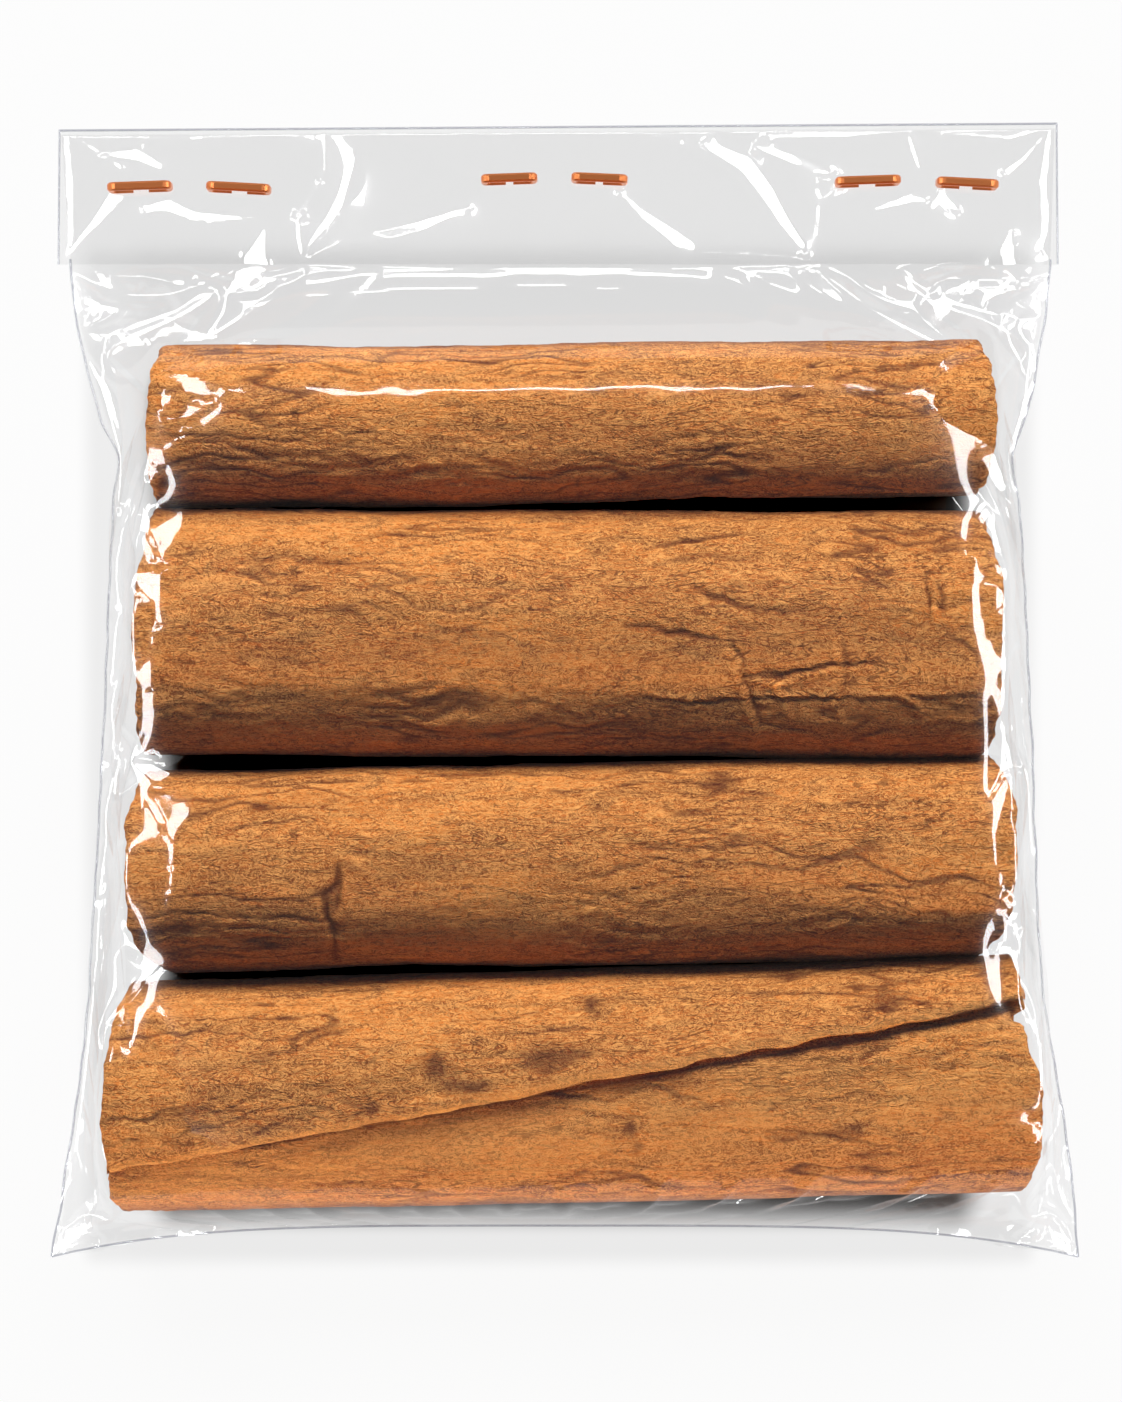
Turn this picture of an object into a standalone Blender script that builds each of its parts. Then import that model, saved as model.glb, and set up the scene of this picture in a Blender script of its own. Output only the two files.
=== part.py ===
"""A sealed clear bag of four cinnamon sticks, lying on its back.

The bag is one closed solid out to its film: it is full of the sticks, so its front and back follow them.
Its mouth is folded forward once and held by six copper staples in three pairs.
Frame: +X across the bag, +Y towards the folded mouth, +Z up through the shown side.
The origin is under the middle of the bag's box, on the surface that it lies on.
Sizes below are millimetres and degrees; the objects are built in metres.
"""

import math
from typing import NamedTuple

import bmesh
import bpy
import numpy as np

MM = 0.001


class Stick(NamedTuple):
    """A quill in the bag: where its ends are along X, its centre line's Y there, and its half width and height."""

    left: float
    right: float
    y_left: float
    y_right: float
    half_width: float
    half_height: float

    def middle(self, x):
        share = np.clip((x - self.left) / (self.right - self.left), 0, 1)
        return self.y_left + share * (self.y_right - self.y_left)


# From the bag's bottom seam to its mouth.
STICKS = (
    Stick(-39.7, 41.1, -35.4, -33.1, 10.2, 8.0),
    Stick(-37.8, 38.8, -15.7, -14.3, 8.7, 7.5),
    Stick(-37.1, 37.7, 5.1, 4.8, 10.8, 7.9),
    Stick(-36.1, 37.2, 23.0, 23.5, 6.9, 6.5),
)

# The bag's outline, seen from above: (y, x) points of its side seams, pinched in beside the first stick.
LEFT_SEAM = ((-49.5, -44.85), (-43.6, -43.7), (-28.3, -41.5), (-0.9, -39.9), (16.5, -39.2), (19.8, -38.8),
             (23.5, -40.3), (31.9, -42.4), (37.0, -43.0), (49.5, -44.0))
RIGHT_SEAM = ((-49.5, 44.85), (-39.1, 43.6), (-24.2, 41.3), (-0.9, 40.3), (16.5, 39.4), (19.9, 38.8),
              (24.3, 40.2), (31.6, 41.6), (37.0, 42.2), (49.5, 42.7))
BOTTOM_Y = -49.5
BOTTOM_RISE = 2.7  # the bottom seam is pulled up this far between its two corners
BOTTOM_RISE_DEPTH = 14.0
FOLD_Y = 48.8
FOLD_TILT = 0.3  # the fold is this much lower at the left edge, and higher at the right
FOLD_BULGE = 0.4
FLAP_EDGE_Y = 37.0
FLAP_LEFT = (-44.0, -44.0)  # the flap's side edge, at the fold and at its free corner
FLAP_RIGHT = (42.7, 42.9)

# Heights of the seams' and the neck's middle above the surface that the bag lies on.
SEAM_HEIGHTS = ((-49.5, 3.2), (-42.0, 5.6), (-10.0, 7.0), (20.0, 6.2), (30.0, 5.6), (37.0, 5.2), (49.5, 4.2))
SEAM_THICKNESS = 0.6
FLAP_THICKNESS = 0.4
FLAP_GAP = 0.35
VALLEY_SAG = 0.3  # share of the way from a straight bridge down to the sticks that the film sinks between them
VALLEY_DEPTH = 3.0  # the depth of a valley that this share is taken of, at most
ARC_ANGLES = np.radians(np.linspace(10, 170, 17))  # where a stick's oval section is sampled
SHOULDER_INSET = 1.0
SHOULDER_ROUNDING = 1.6

STATIONS = 39
BODY_ROWS = 37
NECK_ROWS = 5
FLAP_ROWS = 4
FOLD_ARC_STEPS = 5

# (x, y, crown length, turn about Z in degrees) of each staple, in pairs from left to right.
STAPLES = (
    (-37.0, 43.8, 5.6, 2.0),
    (-28.4, 43.7, 5.6, -3.0),
    (-4.85, 44.5, 4.9, 2.0),
    (3.0, 44.5, 4.9, -2.5),
    (26.35, 44.3, 5.7, 2.0),
    (35.0, 44.1, 5.4, -3.0),
)
WIRE_WIDTH = 0.75
WIRE_THICKNESS = 0.55
WIRE_CORNER = 0.16
WIRE_BEND = 0.45
CLINCH_LENGTH = 1.4
CLEARANCE = 0.3
BEND_STEPS = 4
HOLE_SIDES = 10
HOLE_LENGTH = 6.0

BAG_COLOUR = (0.86, 0.87, 0.89, 1.0)
COPPER_COLOUR = (0.72, 0.33, 0.16, 1.0)


def clear_scene():
    for obj in list(bpy.data.objects):
        bpy.data.objects.remove(obj)


def smooth_curve(points, at):
    """Cubic Hermite curve through (position, value) points, with slopes that never overshoot them."""
    position, value = (np.array(column, float) for column in zip(*points))
    step = np.diff(position)
    chord = np.diff(value) / step
    product = chord[:-1] * chord[1:]
    total = np.where(product > 0, chord[:-1] + chord[1:], 1.0)
    inner = np.where(product > 0, 2 * product / total, 0.0)
    slope = np.concatenate([chord[:1], inner, chord[-1:]])
    cell = np.clip(np.searchsorted(position, at, side="right") - 1, 0, len(step) - 1)
    t = np.clip((at - position[cell]) / step[cell], 0, 1)
    rise = value[cell + 1] - value[cell]
    tangent_start = slope[cell] * step[cell]
    tangent_end = slope[cell + 1] * step[cell]
    bend = tangent_start * t * (1 - t) ** 2 - tangent_end * t * t * (1 - t)
    return value[cell] + rise * t * t * (3 - 2 * t) + bend


def end_of_sticks(y, side):
    """The X at which the sticks end beside y, smooth from one stick to the next."""
    ends = [(float(s.middle(0.0)), getattr(s, side)) for s in STICKS]
    return smooth_curve(ends, y)


def hull_line(points, at, sign):
    """Height at `at` of the taut line over (sign 1) or under (sign -1) the (y, z) points."""
    line = []
    for y, z in sorted(points):
        while len(line) > 1:
            (y0, z0), (y1, z1) = line[-2:]
            if sign * ((z1 - z0) * (y - y1) - (z - z1) * (y1 - y0)) > 0:
                break
            line.pop()
        line.append((y, z))
    ys, zs = zip(*line)
    return np.interp(at, ys, zs)


def stick_arcs(x, sign):
    """Points of the four oval sections' upper (sign 1) or lower halves at x."""
    points = []
    for stick in STICKS:
        y = stick.middle(x) + stick.half_width * np.cos(ARC_ANGLES)
        z = stick.half_height * (1 + sign * np.sin(ARC_ANGLES))
        points += list(zip(y, z))
    return points


def section_height(x, y, ends, sign):
    """The film's height over or under the sticks along a section at x, between the heights of its two ends."""
    arcs = stick_arcs(x, sign)
    taut = hull_line(arcs + ends, y, sign)
    if sign < 0:
        return taut
    wrapped = np.interp(y, *zip(*sorted(arcs + ends)))
    return taut - VALLEY_SAG * np.clip(taut - wrapped, 0, VALLEY_DEPTH)


def bag_rows():
    """Nominal Y of each row from the bottom seam to the fold, closer together near the bottom seam."""
    share = np.linspace(0, 1, BODY_ROWS)
    body = BOTTOM_Y + (FLAP_EDGE_Y - BOTTOM_Y) * share ** 1.15
    neck = np.linspace(FLAP_EDGE_Y, FOLD_Y, NECK_ROWS + 1)[1:]
    return np.concatenate([body, neck])


def station_shares():
    """Share of the width at each station, closer together beside the side seams."""
    even = np.linspace(0, 1, STATIONS)
    return 0.35 * even + 0.65 * (1 - np.cos(math.pi * even)) / 2


def bag_layers():
    """Front and back film as arrays of points, stations by rows."""
    rows, shares = bag_rows(), station_shares()
    left, right = smooth_curve(LEFT_SEAM, rows), smooth_curve(RIGHT_SEAM, rows)
    seam = smooth_curve(SEAM_HEIGHTS, rows)
    x = left + shares[:, None] * (right - left)
    across = 2 * shares - 1
    bottom_rise = BOTTOM_RISE * (1 - across ** 4)
    fold_rise = FOLD_TILT * across
    near_bottom = np.clip((BOTTOM_Y + BOTTOM_RISE_DEPTH - rows) / BOTTOM_RISE_DEPTH, 0, 1) ** 2
    near_fold = np.clip((rows - FLAP_EDGE_Y) / (FOLD_Y - FLAP_EDGE_Y), 0, 1)
    y = rows + bottom_rise[:, None] * near_bottom + fold_rise[:, None] * near_fold

    run_left = end_of_sticks(rows, "left") + SHOULDER_INSET - left
    run_right = right - end_of_sticks(rows, "right") + SHOULDER_INSET
    from_side = np.minimum((x - left) / run_left, (right - x) / run_right)
    fullness = 1 - (1 - np.clip(from_side, 0, 1)) ** SHOULDER_ROUNDING

    front, back = np.empty(x.shape), np.empty(x.shape)
    half = SEAM_THICKNESS / 2
    for i, x_row in enumerate(x):
        middle_x = float(x_row[len(x_row) // 2])
        ends = [(float(y[i, 0]), float(seam[0])), (FLAP_EDGE_Y, float(seam[BODY_ROWS - 1]))]
        front[i] = section_height(middle_x, y[i], ends, 1)
        back[i] = section_height(middle_x, y[i], ends, -1)
    in_neck = rows >= FLAP_EDGE_Y
    front = np.where(in_neck, seam, front)
    back = np.where(in_neck, seam, back)
    front = seam + (front - seam) * fullness + half
    back = np.maximum(seam + (back - seam) * fullness - half, 0)
    return np.stack([x, y, front], -1), np.stack([x, y, back], -1)


def flap_layers(neck_front):
    """Outer face and underside of the flap that is folded over the neck, stations by rows from the fold."""
    shares = station_shares()
    down = np.linspace(0, 1, FLAP_ROWS + 1)
    left = FLAP_LEFT[0] + down * (FLAP_LEFT[1] - FLAP_LEFT[0])
    right = FLAP_RIGHT[0] + down * (FLAP_RIGHT[1] - FLAP_RIGHT[0])
    x = left + shares[:, None] * (right - left)
    fold_y = neck_front[:, -1, 1]
    y = fold_y[:, None] + down * (FLAP_EDGE_Y - fold_y[:, None])
    below = np.stack([np.interp(row, neck[:, 1], neck[:, 2]) for row, neck in zip(y, neck_front)])
    under = below + FLAP_GAP
    return np.stack([x, y, under + FLAP_THICKNESS], -1), np.stack([x, y, under], -1)


def fold_arc(back_edge, flap_edge):
    """The round of the fold, from the back film's top edge up to the flap's, as half an oval in each station."""
    angles = np.linspace(-90, 90, FOLD_ARC_STEPS + 2)[1:-1]
    middle, half = (back_edge + flap_edge) / 2, (flap_edge - back_edge) / 2
    bulge = np.array([0, FOLD_BULGE, 0])
    arc = [middle + half * math.sin(a) + bulge * math.cos(a) for a in np.radians(angles)]
    return np.stack(arc, axis=1)


def cap_faces(ring, sizes):
    """Faces that close the loft at one end: strips across the film, strips across the flap, and the fold's end."""
    body, arc, flap = sizes
    back = ring[:body]
    fold = ring[body:body + arc]
    outer = ring[body + arc:body + arc + flap]
    under = ring[body + arc + flap:body + arc + 2 * flap][::-1]
    front = ring[body + arc + 2 * flap:][::-1]
    faces = [(back[i], back[i + 1], front[i + 1], front[i]) for i in range(body - 1)]
    faces += [(outer[i], outer[i + 1], under[i + 1], under[i]) for i in range(flap - 1)]
    faces.append((back[-1], *fold, outer[0], under[0], front[-1]))
    return faces


def closed_mesh(name, points, faces):
    """A mesh in metres from points in millimetres, its faces turned outwards."""
    mesh = bpy.data.meshes.new(name)
    mesh.from_pydata([tuple(p) for p in np.asarray(points) * MM], [], faces)
    work = bmesh.new()
    work.from_mesh(mesh)
    bmesh.ops.recalc_face_normals(work, faces=work.faces)
    work.to_mesh(mesh)
    work.free()
    return mesh


def add_object(name, mesh, material=None):
    obj = bpy.data.objects.new(name, mesh)
    bpy.context.scene.collection.objects.link(obj)
    if material:
        mesh.materials.append(material)
    return obj


def make_material(name, colour, roughness, metallic):
    material = bpy.data.materials.new(name)
    material.use_nodes = True
    shader = material.node_tree.nodes["Principled BSDF"]
    shader.inputs["Base Color"].default_value = colour
    shader.inputs["Roughness"].default_value = roughness
    shader.inputs["Metallic"].default_value = metallic
    return material


def build_bag(material):
    """The bag: one ring of points per station, through back, fold, flap and front, lofted from side to side."""
    front, back = bag_layers()
    outer, under = flap_layers(front)
    fold = fold_arc(back[:, -1], outer[:, 0])
    rings = np.concatenate([back, fold, outer, under[:, ::-1], front[:, ::-1]], axis=1)
    count = rings.shape[1]
    index = np.arange(STATIONS * count).reshape(STATIONS, count)
    turned = np.roll(index, -1, axis=1)
    sides = np.stack([index[:-1], turned[:-1], turned[1:], index[1:]], -1).reshape(-1, 4)
    sizes = (back.shape[1], fold.shape[1], outer.shape[1])
    caps = cap_faces(index[0].tolist(), sizes) + cap_faces(index[-1].tolist(), sizes)
    mesh = closed_mesh("bag", rings.reshape(-1, 3), sides.tolist() + caps)
    mesh.shade_smooth()
    return add_object("bag", mesh, material)


def neck_height(y):
    """Height of the neck's middle at y."""
    return float(smooth_curve(SEAM_HEIGHTS, np.array([y]))[0])


def wire_path(crown):
    """Centre line of a closed staple as (x, z): clinched left leg, up, along the crown, down, clinched right leg.

    z is counted from the middle of the neck's film.
    """
    stack_top = SEAM_THICKNESS / 2 + FLAP_GAP + FLAP_THICKNESS
    top = stack_top + CLEARANCE + WIRE_THICKNESS / 2
    bottom = -(SEAM_THICKNESS / 2 + CLEARANCE + WIRE_THICKNESS / 2)
    edge = crown / 2 - WIRE_THICKNESS / 2
    half = [(0.0, top), (edge - WIRE_BEND, top)]
    for step in range(1, BEND_STEPS + 1):
        angle = math.pi / 2 * step / BEND_STEPS
        half.append((edge - WIRE_BEND * (1 - math.sin(angle)), top - WIRE_BEND * (1 - math.cos(angle))))
    for step in range(BEND_STEPS + 1):
        angle = math.pi / 2 * step / BEND_STEPS
        half.append((edge - WIRE_BEND * (1 - math.cos(angle)), bottom + WIRE_BEND * (1 - math.sin(angle))))
    half.append((edge - WIRE_BEND - CLINCH_LENGTH, bottom))
    right = np.array(half)
    left = right[:0:-1] * [-1, 1]
    return np.concatenate([left, right])


def wire_section():
    """The wire's cross-section: a flat rectangle with its corners cut, as (across, through) points."""
    w, t, c = WIRE_WIDTH / 2, WIRE_THICKNESS / 2, WIRE_CORNER
    quarter = [(w, t - c), (w - c, t)]
    return np.array(quarter + [(-a, b) for a, b in quarter[::-1]]
                    + [(-a, -b) for a, b in quarter] + [(a, -b) for a, b in quarter[::-1]])


def build_staple(name, spot, material):
    """One staple, its section carried along the wire's path with its width kept along the bag."""
    x, y, crown, turn = spot
    path, section = wire_path(crown), wire_section()
    along = np.gradient(path, axis=0)
    along /= np.linalg.norm(along, axis=1, keepdims=True)
    outward = np.stack([-along[:, 1], along[:, 0]], -1)
    across, through = section.T
    points = np.empty((len(path), len(section), 3))
    points[..., 0] = path[:, None, 0] + outward[:, None, 0] * through
    points[..., 1] = across
    points[..., 2] = path[:, None, 1] + outward[:, None, 1] * through
    index = np.arange(points.shape[0] * points.shape[1]).reshape(points.shape[:2])
    turned = np.roll(index, -1, axis=1)
    sides = np.stack([index[:-1], turned[:-1], turned[1:], index[1:]], -1).reshape(-1, 4)
    faces = sides.tolist() + [index[0].tolist(), index[-1].tolist()]
    mesh = closed_mesh(name, points.reshape(-1, 3), faces)
    mesh.shade_smooth()
    mesh.set_sharp_from_angle(angle=math.radians(30))
    staple = add_object(name, mesh, material)
    staple.location = (x * MM, y * MM, neck_height(y) * MM)
    staple.rotation_euler = (0, 0, math.radians(turn))
    return staple


def build_hole_cutters():
    """Upright pegs, a little wider than the wire, that open the holes which the staples' legs go through."""
    radius = math.hypot(WIRE_WIDTH, WIRE_THICKNESS) / 2 + CLEARANCE
    work = bmesh.new()
    for x, y, crown, turn in STAPLES:
        reach = crown / 2 - WIRE_THICKNESS / 2
        for side in (-1, 1):
            angle = math.radians(turn)
            made = bmesh.ops.create_cone(work, cap_ends=True, segments=HOLE_SIDES,
                                         radius1=radius * MM, radius2=radius * MM, depth=HOLE_LENGTH * MM)
            place = np.array([x + side * reach * math.cos(angle), y + side * reach * math.sin(angle),
                              neck_height(y)]) * MM
            bmesh.ops.translate(work, verts=made["verts"], vec=place)
    mesh = bpy.data.meshes.new("staple_holes")
    work.to_mesh(mesh)
    work.free()
    cutters = add_object("staple_holes", mesh)
    cutters.hide_render = True
    cutters.display_type = "WIRE"
    return cutters


def main():
    clear_scene()
    film = make_material("clear_film", BAG_COLOUR, 0.08, 0.0)
    copper = make_material("copper_wire", COPPER_COLOUR, 0.25, 1.0)
    bag = build_bag(film)
    holes = bag.modifiers.new("staple_holes", "BOOLEAN")
    holes.operation = "DIFFERENCE"
    holes.object = build_hole_cutters()
    for number, spot in enumerate(STAPLES, start=1):
        build_staple(f"staple_{number}", spot, copper)


main()
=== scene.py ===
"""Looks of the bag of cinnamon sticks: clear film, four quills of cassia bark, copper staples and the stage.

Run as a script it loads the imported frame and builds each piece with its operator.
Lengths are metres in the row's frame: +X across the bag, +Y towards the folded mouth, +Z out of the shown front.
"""

import math
from typing import NamedTuple

import bpy
import numpy as np
from bpy.props import FloatProperty, FloatVectorProperty, IntProperty, PointerProperty
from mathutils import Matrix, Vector


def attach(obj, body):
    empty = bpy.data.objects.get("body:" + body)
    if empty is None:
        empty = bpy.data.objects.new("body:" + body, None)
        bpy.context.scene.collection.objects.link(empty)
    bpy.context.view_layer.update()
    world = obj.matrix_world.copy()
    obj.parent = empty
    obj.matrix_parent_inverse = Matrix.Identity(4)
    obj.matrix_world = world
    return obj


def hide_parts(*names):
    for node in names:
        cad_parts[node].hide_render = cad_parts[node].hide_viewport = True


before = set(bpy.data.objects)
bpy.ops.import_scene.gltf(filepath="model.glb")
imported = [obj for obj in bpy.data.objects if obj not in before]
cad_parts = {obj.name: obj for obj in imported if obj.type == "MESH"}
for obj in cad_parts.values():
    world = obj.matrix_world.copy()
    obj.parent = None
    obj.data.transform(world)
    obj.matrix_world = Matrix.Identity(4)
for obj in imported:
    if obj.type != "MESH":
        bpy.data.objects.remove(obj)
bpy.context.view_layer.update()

bl_info = {
    "name": "Bag of cinnamon sticks",
    "version": (1, 0, 0),
    "blender": (4, 5, 0),
    "location": "3D View > Sidebar > Cinnamon",
    "description": "Builds a stapled clear bag of cassia quills, piece by piece",
    "category": "Add Mesh",
}

MM = 0.001


def linear(hex_colour):
    """Linear RGBA of an sRGB colour written as RRGGBB."""
    value = np.array([int(hex_colour[i:i + 2], 16) for i in (0, 2, 4)]) / 255
    rgb = np.where(value <= 0.04045, value / 12.92, ((value + 0.055) / 1.055) ** 2.4)
    return (*rgb.tolist(), 1.0)


# ---------------------------------------------------------------------------------------------- the quills' facts


class Mark(NamedTuple):
    """A stroke on the bark: points (x mm, share of the half width from the middle), its width and height in mm.

    A negative height is a crack. The stain is how much it darkens the bark, up to 1, or below 0 how far it bares
    the paler fibres. A few dark strokes are painted shade: a shadow beside a ridge or under a step.
    """

    points: tuple
    width: float
    height: float
    stain: float


class Quill(NamedTuple):
    """One stick, in mm: its ends, its centre line's Y there, its half width and height, its bark and its marks.

    edge_left and edge_right are where the outer turn of bark ends, as degrees from +Y over the top. left_end and
    right_end say how far each end falls short, as (share of the half width, mm) from the -Y side to the +Y side.
    curl is how far the free edge stands off, and slip how far the bark under it bulges out at the right end.
    """

    name: str
    left: float
    right: float
    y_left: float
    y_right: float
    half_width: float
    half_height: float
    wall: float
    edge_left: float
    edge_right: float
    turns: float
    curl: float
    slip: float
    seed: int
    left_end: tuple
    right_end: tuple
    marks: tuple

    def middle(self, x):
        share = np.clip((x - self.left) / (self.right - self.left), 0, 1)
        return self.y_left + share * (self.y_right - self.y_left)


QUILLS = (
    Quill("cinnamon_stick_1", -36.1, 37.2, 23.0, 23.5, 6.8, 6.4, 1.1, 200, 150, 2.3, 0.1, 0.7, 11,
          ((-1, 0.5), (-0.8, 0.2), (0, 0), (0.6, 0.2), (1, 1.0)),
          ((-1, 1.2), (-0.8, 0.8), (-0.4, 0.2), (0.1, 0), (0.7, 0.4), (1, 1.2)), ()),
    Quill("cinnamon_stick_2", -37.1, 37.7, 5.1, 4.8, 10.6, 7.8, 1.3, 232, 240, 2.1, 0.0, 0.0, 22,
          ((-1, 0.6), (-0.8, 0.2), (-0.4, 0.3), (-0.1, 0), (0.3, 0.1), (0.6, 0.7), (1, 1.3)),
          ((-1, 1.8), (-0.9, 0.9), (-0.5, 0.2), (0, 0.3), (0.3, 0), (0.7, 0.7), (1, 1.5)), (
        Mark(((-35.0, -0.1), (0.0, -0.16), (34.0, -0.12)), 2.4, 0.0, 0.4),
        Mark(((13.2, 0.02), (14.5, -0.27), (15.1, -0.52), (16.1, -0.75), (16.7, -0.98)), 0.34, 0.32, -0.8),
        # a shallow dent beside the pale ridge; its darkness is painted shadow of the ridge
        Mark(((14.0, -0.02), (15.2, -0.27), (15.8, -0.52), (16.8, -0.75)), 0.26, -0.25, 0.6),
        Mark(((17.3, -0.35), (18.5, -0.52), (19.1, -0.71)), 0.32, 0.28, -0.7),
        Mark(((22.9, 0.0), (23.5, -0.25), (23.2, -0.55), (24.2, -0.85)), 0.3, 0.26, -0.7),
        # a shallow dent beside the pale ridge; its darkness is painted shadow of the ridge
        Mark(((23.5, 0.0), (24.1, -0.25), (23.8, -0.55)), 0.24, -0.2, 0.5),
        Mark(((27.1, -0.25), (28.3, -0.38), (28.6, -0.5), (30.2, -0.58), (30.8, -0.77)), 0.32, 0.26, -0.7),
        Mark(((30.9, 0.46), (31.1, 0.12)), 0.3, -0.3, 0.9),
        Mark(((31.4, 0.46), (31.6, 0.12)), 0.24, 0.3, -0.8),
        Mark(((32.0, 0.46), (32.2, 0.15)), 0.3, -0.3, 0.9),
        Mark(((15.2, -0.37), (18.4, -0.35), (23.2, -0.26), (26.5, -0.25)), 0.28, -0.25, 0.8),
        Mark(((15.2, -0.41), (18.4, -0.39), (23.2, -0.3), (26.5, -0.29)), 0.2, 0.2, -0.8),
        Mark(((6.5, -0.5), (11.6, -0.54), (16.3, -0.5), (28.6, -0.49), (37.1, -0.47)), 0.2, 0.16, -0.7),
        Mark(((6.5, -0.53), (11.6, -0.57), (16.3, -0.53), (28.6, -0.52), (36.0, -0.5)), 0.2, -0.1, 0.5),
        # painted shade: a broad dark band with no relief, standing for the shade under a raised step of bark
        Mark(((14.5, 0.05), (24.0, 0.1), (33.5, 0.02)), 2.4, 0.0, 0.42),
        Mark(((32.8, -0.04), (35.7, -0.17)), 0.3, -0.25, 0.8),
        Mark(((6.5, 0.67), (10.6, 0.74), (16.3, 0.81)), 0.3, -0.25, 0.95),
        Mark(((7.7, 0.56), (11.6, 0.61), (16.7, 0.59)), 0.5, -0.1, 0.6),
        Mark(((10.5, 0.38), (15.0, 0.2), (21.0, 0.16)), 0.35, -0.25, 0.8),
        Mark(((5.0, 0.05), (9.5, 0.0), (13.0, -0.06)), 0.3, -0.3, 0.8),
        Mark(((-14.0, 0.86), (-8.0, 0.82), (-1.0, 0.86)), 0.4, -0.15, 0.6),
        Mark(((-31.0, 0.55), (-24.0, 0.6), (-15.0, 0.5)), 0.5, -0.15, 0.5),
        Mark(((-30.0, -0.2), (-22.0, -0.24), (-13.0, -0.2)), 0.45, -0.15, 0.45),
    )),
    Quill("cinnamon_stick_3", -37.8, 38.8, -15.7, -14.3, 8.65, 7.7, 1.2, 250, 235, 2.2, 0.0, 0.0, 33,
          ((-1, 3.6), (-0.85, 1.3), (-0.5, 0.2), (0.2, 0), (0.6, 0.2), (1, 1.2)),
          ((-1, 2.8), (-0.8, 1.1), (-0.4, 0.3), (0.2, 0), (0.7, 0.4), (1, 1.7)), (
        Mark(((-19.3, 0.05), (-19.6, -0.12), (-20.5, -0.28), (-20.2, -0.44), (-19.7, -0.58), (-19.6, -0.92)), 0.42,
             -0.45, 1.0),
        Mark(((-19.2, 0.02), (-19.2, -0.2), (-19.5, -0.45)), 0.4, -0.35, 0.9),
        Mark(((-20.1, -0.2), (-19.9, -0.36)), 0.8, -0.1, 0.7),
        Mark(((-18.7, 0.0), (-18.7, -0.3), (-18.9, -0.5)), 0.35, 0.28, -0.5),
        Mark(((-19.4, 0.14), (-17.9, 0.02), (-16.2, -0.06)), 0.5, 0.3, 0.6),
        Mark(((-18.0, 0.2), (-12.0, 0.0), (-6.0, 0.1)), 3.0, -0.02, 0.35),
        Mark(((22.0, 0.5), (26.0, 0.6), (30.0, 0.5)), 0.6, -0.1, 0.5),
    )),
    Quill("cinnamon_stick_4", -39.7, 41.1, -35.4, -33.1, 10.1, 7.7, 0.95, 124, 50, 2.0, 0.3, 0.0, 44,
          ((-1, 0.9), (-0.9, 0.4), (-0.5, 0.3), (-0.1, 0), (0.2, 0.1), (0.7, 0.7), (1, 1.9)),
          ((-1, 1.2), (-0.64, 0.1), (-0.17, 0.1), (0.1, 0.6), (0.23, 1.3), (0.38, 1.4), (0.49, 1.9), (0.53, 2.8),
           (0.6, 2.8), (0.64, 1.5), (0.8, 1.9), (1, 2.4)), (
        Mark(((26.1, 0.66), (27.4, 0.62), (27.9, 0.5)), 1.9, 0.25, 1.0),
        Mark(((26.6, 0.56), (27.2, 0.50)), 0.5, 0.3, -0.6),
        Mark(((22.5, 0.42), (23.8, 0.38)), 1.4, -0.05, 1.0),
        Mark(((36.8, 0.9), (37.6, 0.7), (38.2, 0.6)), 1.1, -0.05, 0.9),
        Mark(((28.0, 0.82), (31.0, 0.80)), 0.7, -0.05, 0.6),
        Mark(((-3.0, 0.28), (-1.2, 0.24)), 1.3, -0.05, 1.0),
        Mark(((-3.6, 0.26), (0.0, 0.28), (2.8, 0.33)), 0.8, -0.1, 1.0),
        Mark(((4.8, -0.4), (6.2, -0.34)), 1.3, -0.05, 1.0),
        Mark(((5.6, -0.5), (6.8, -0.55)), 0.9, -0.05, 0.9),
        Mark(((-11.8, 0.3), (-10.2, 0.2)), 1.3, -0.05, 1.0),
        Mark(((-10.8, 0.1), (-8.0, 0.06), (-6.0, 0.08)), 0.8, -0.05, 0.9),
        Mark(((-17.0, -0.12), (-15.8, -0.16)), 1.2, -0.05, 1.0),
        Mark(((16.5, 0.45), (20.0, 0.38), (23.0, 0.42)), 0.7, -0.05, 0.6),
        Mark(((1.5, 0.72), (3.0, 0.74)), 1.0, -0.05, 0.9),
        Mark(((-37.0, -0.2), (-33.0, -0.28), (-30.0, -0.26)), 0.8, 0.12, 0.3),
    )),
)

# The bag's outline seen from above, (y, x) in mm: its side seams, pinched in beside the first stick.
LEFT_SEAM = ((-49.5, -44.85), (-43.6, -43.7), (-28.3, -41.5), (-0.9, -39.9), (16.5, -39.2), (19.8, -38.8),
             (23.5, -40.3), (31.9, -42.4), (37.0, -43.0), (49.5, -44.0))
RIGHT_SEAM = ((-49.5, 44.85), (-39.1, 43.6), (-24.2, 41.3), (-0.9, 40.3), (16.5, 39.4), (19.9, 38.8),
              (24.3, 40.2), (31.6, 41.6), (37.0, 42.2), (49.5, 42.7))
SEAM_HEIGHTS = ((-49.5, 3.2), (-42.0, 5.6), (-10.0, 7.0), (20.0, 6.2), (30.0, 5.6), (37.0, 5.2), (49.5, 4.2))
BOTTOM_Y = -49.5
BOTTOM_RISE = 2.7
BOTTOM_RISE_DEPTH = 14.0
NECK_Y = 37.0
FOLD_Y = 49.1
FOLD_TILT = 0.3
FLAP_SIDES = (-44.0, 42.8)
FLAP_RISE = 0.95  # the flap's outer sheet over the middle of the neck's film

FLOOR_GLOW = 0.94
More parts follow.
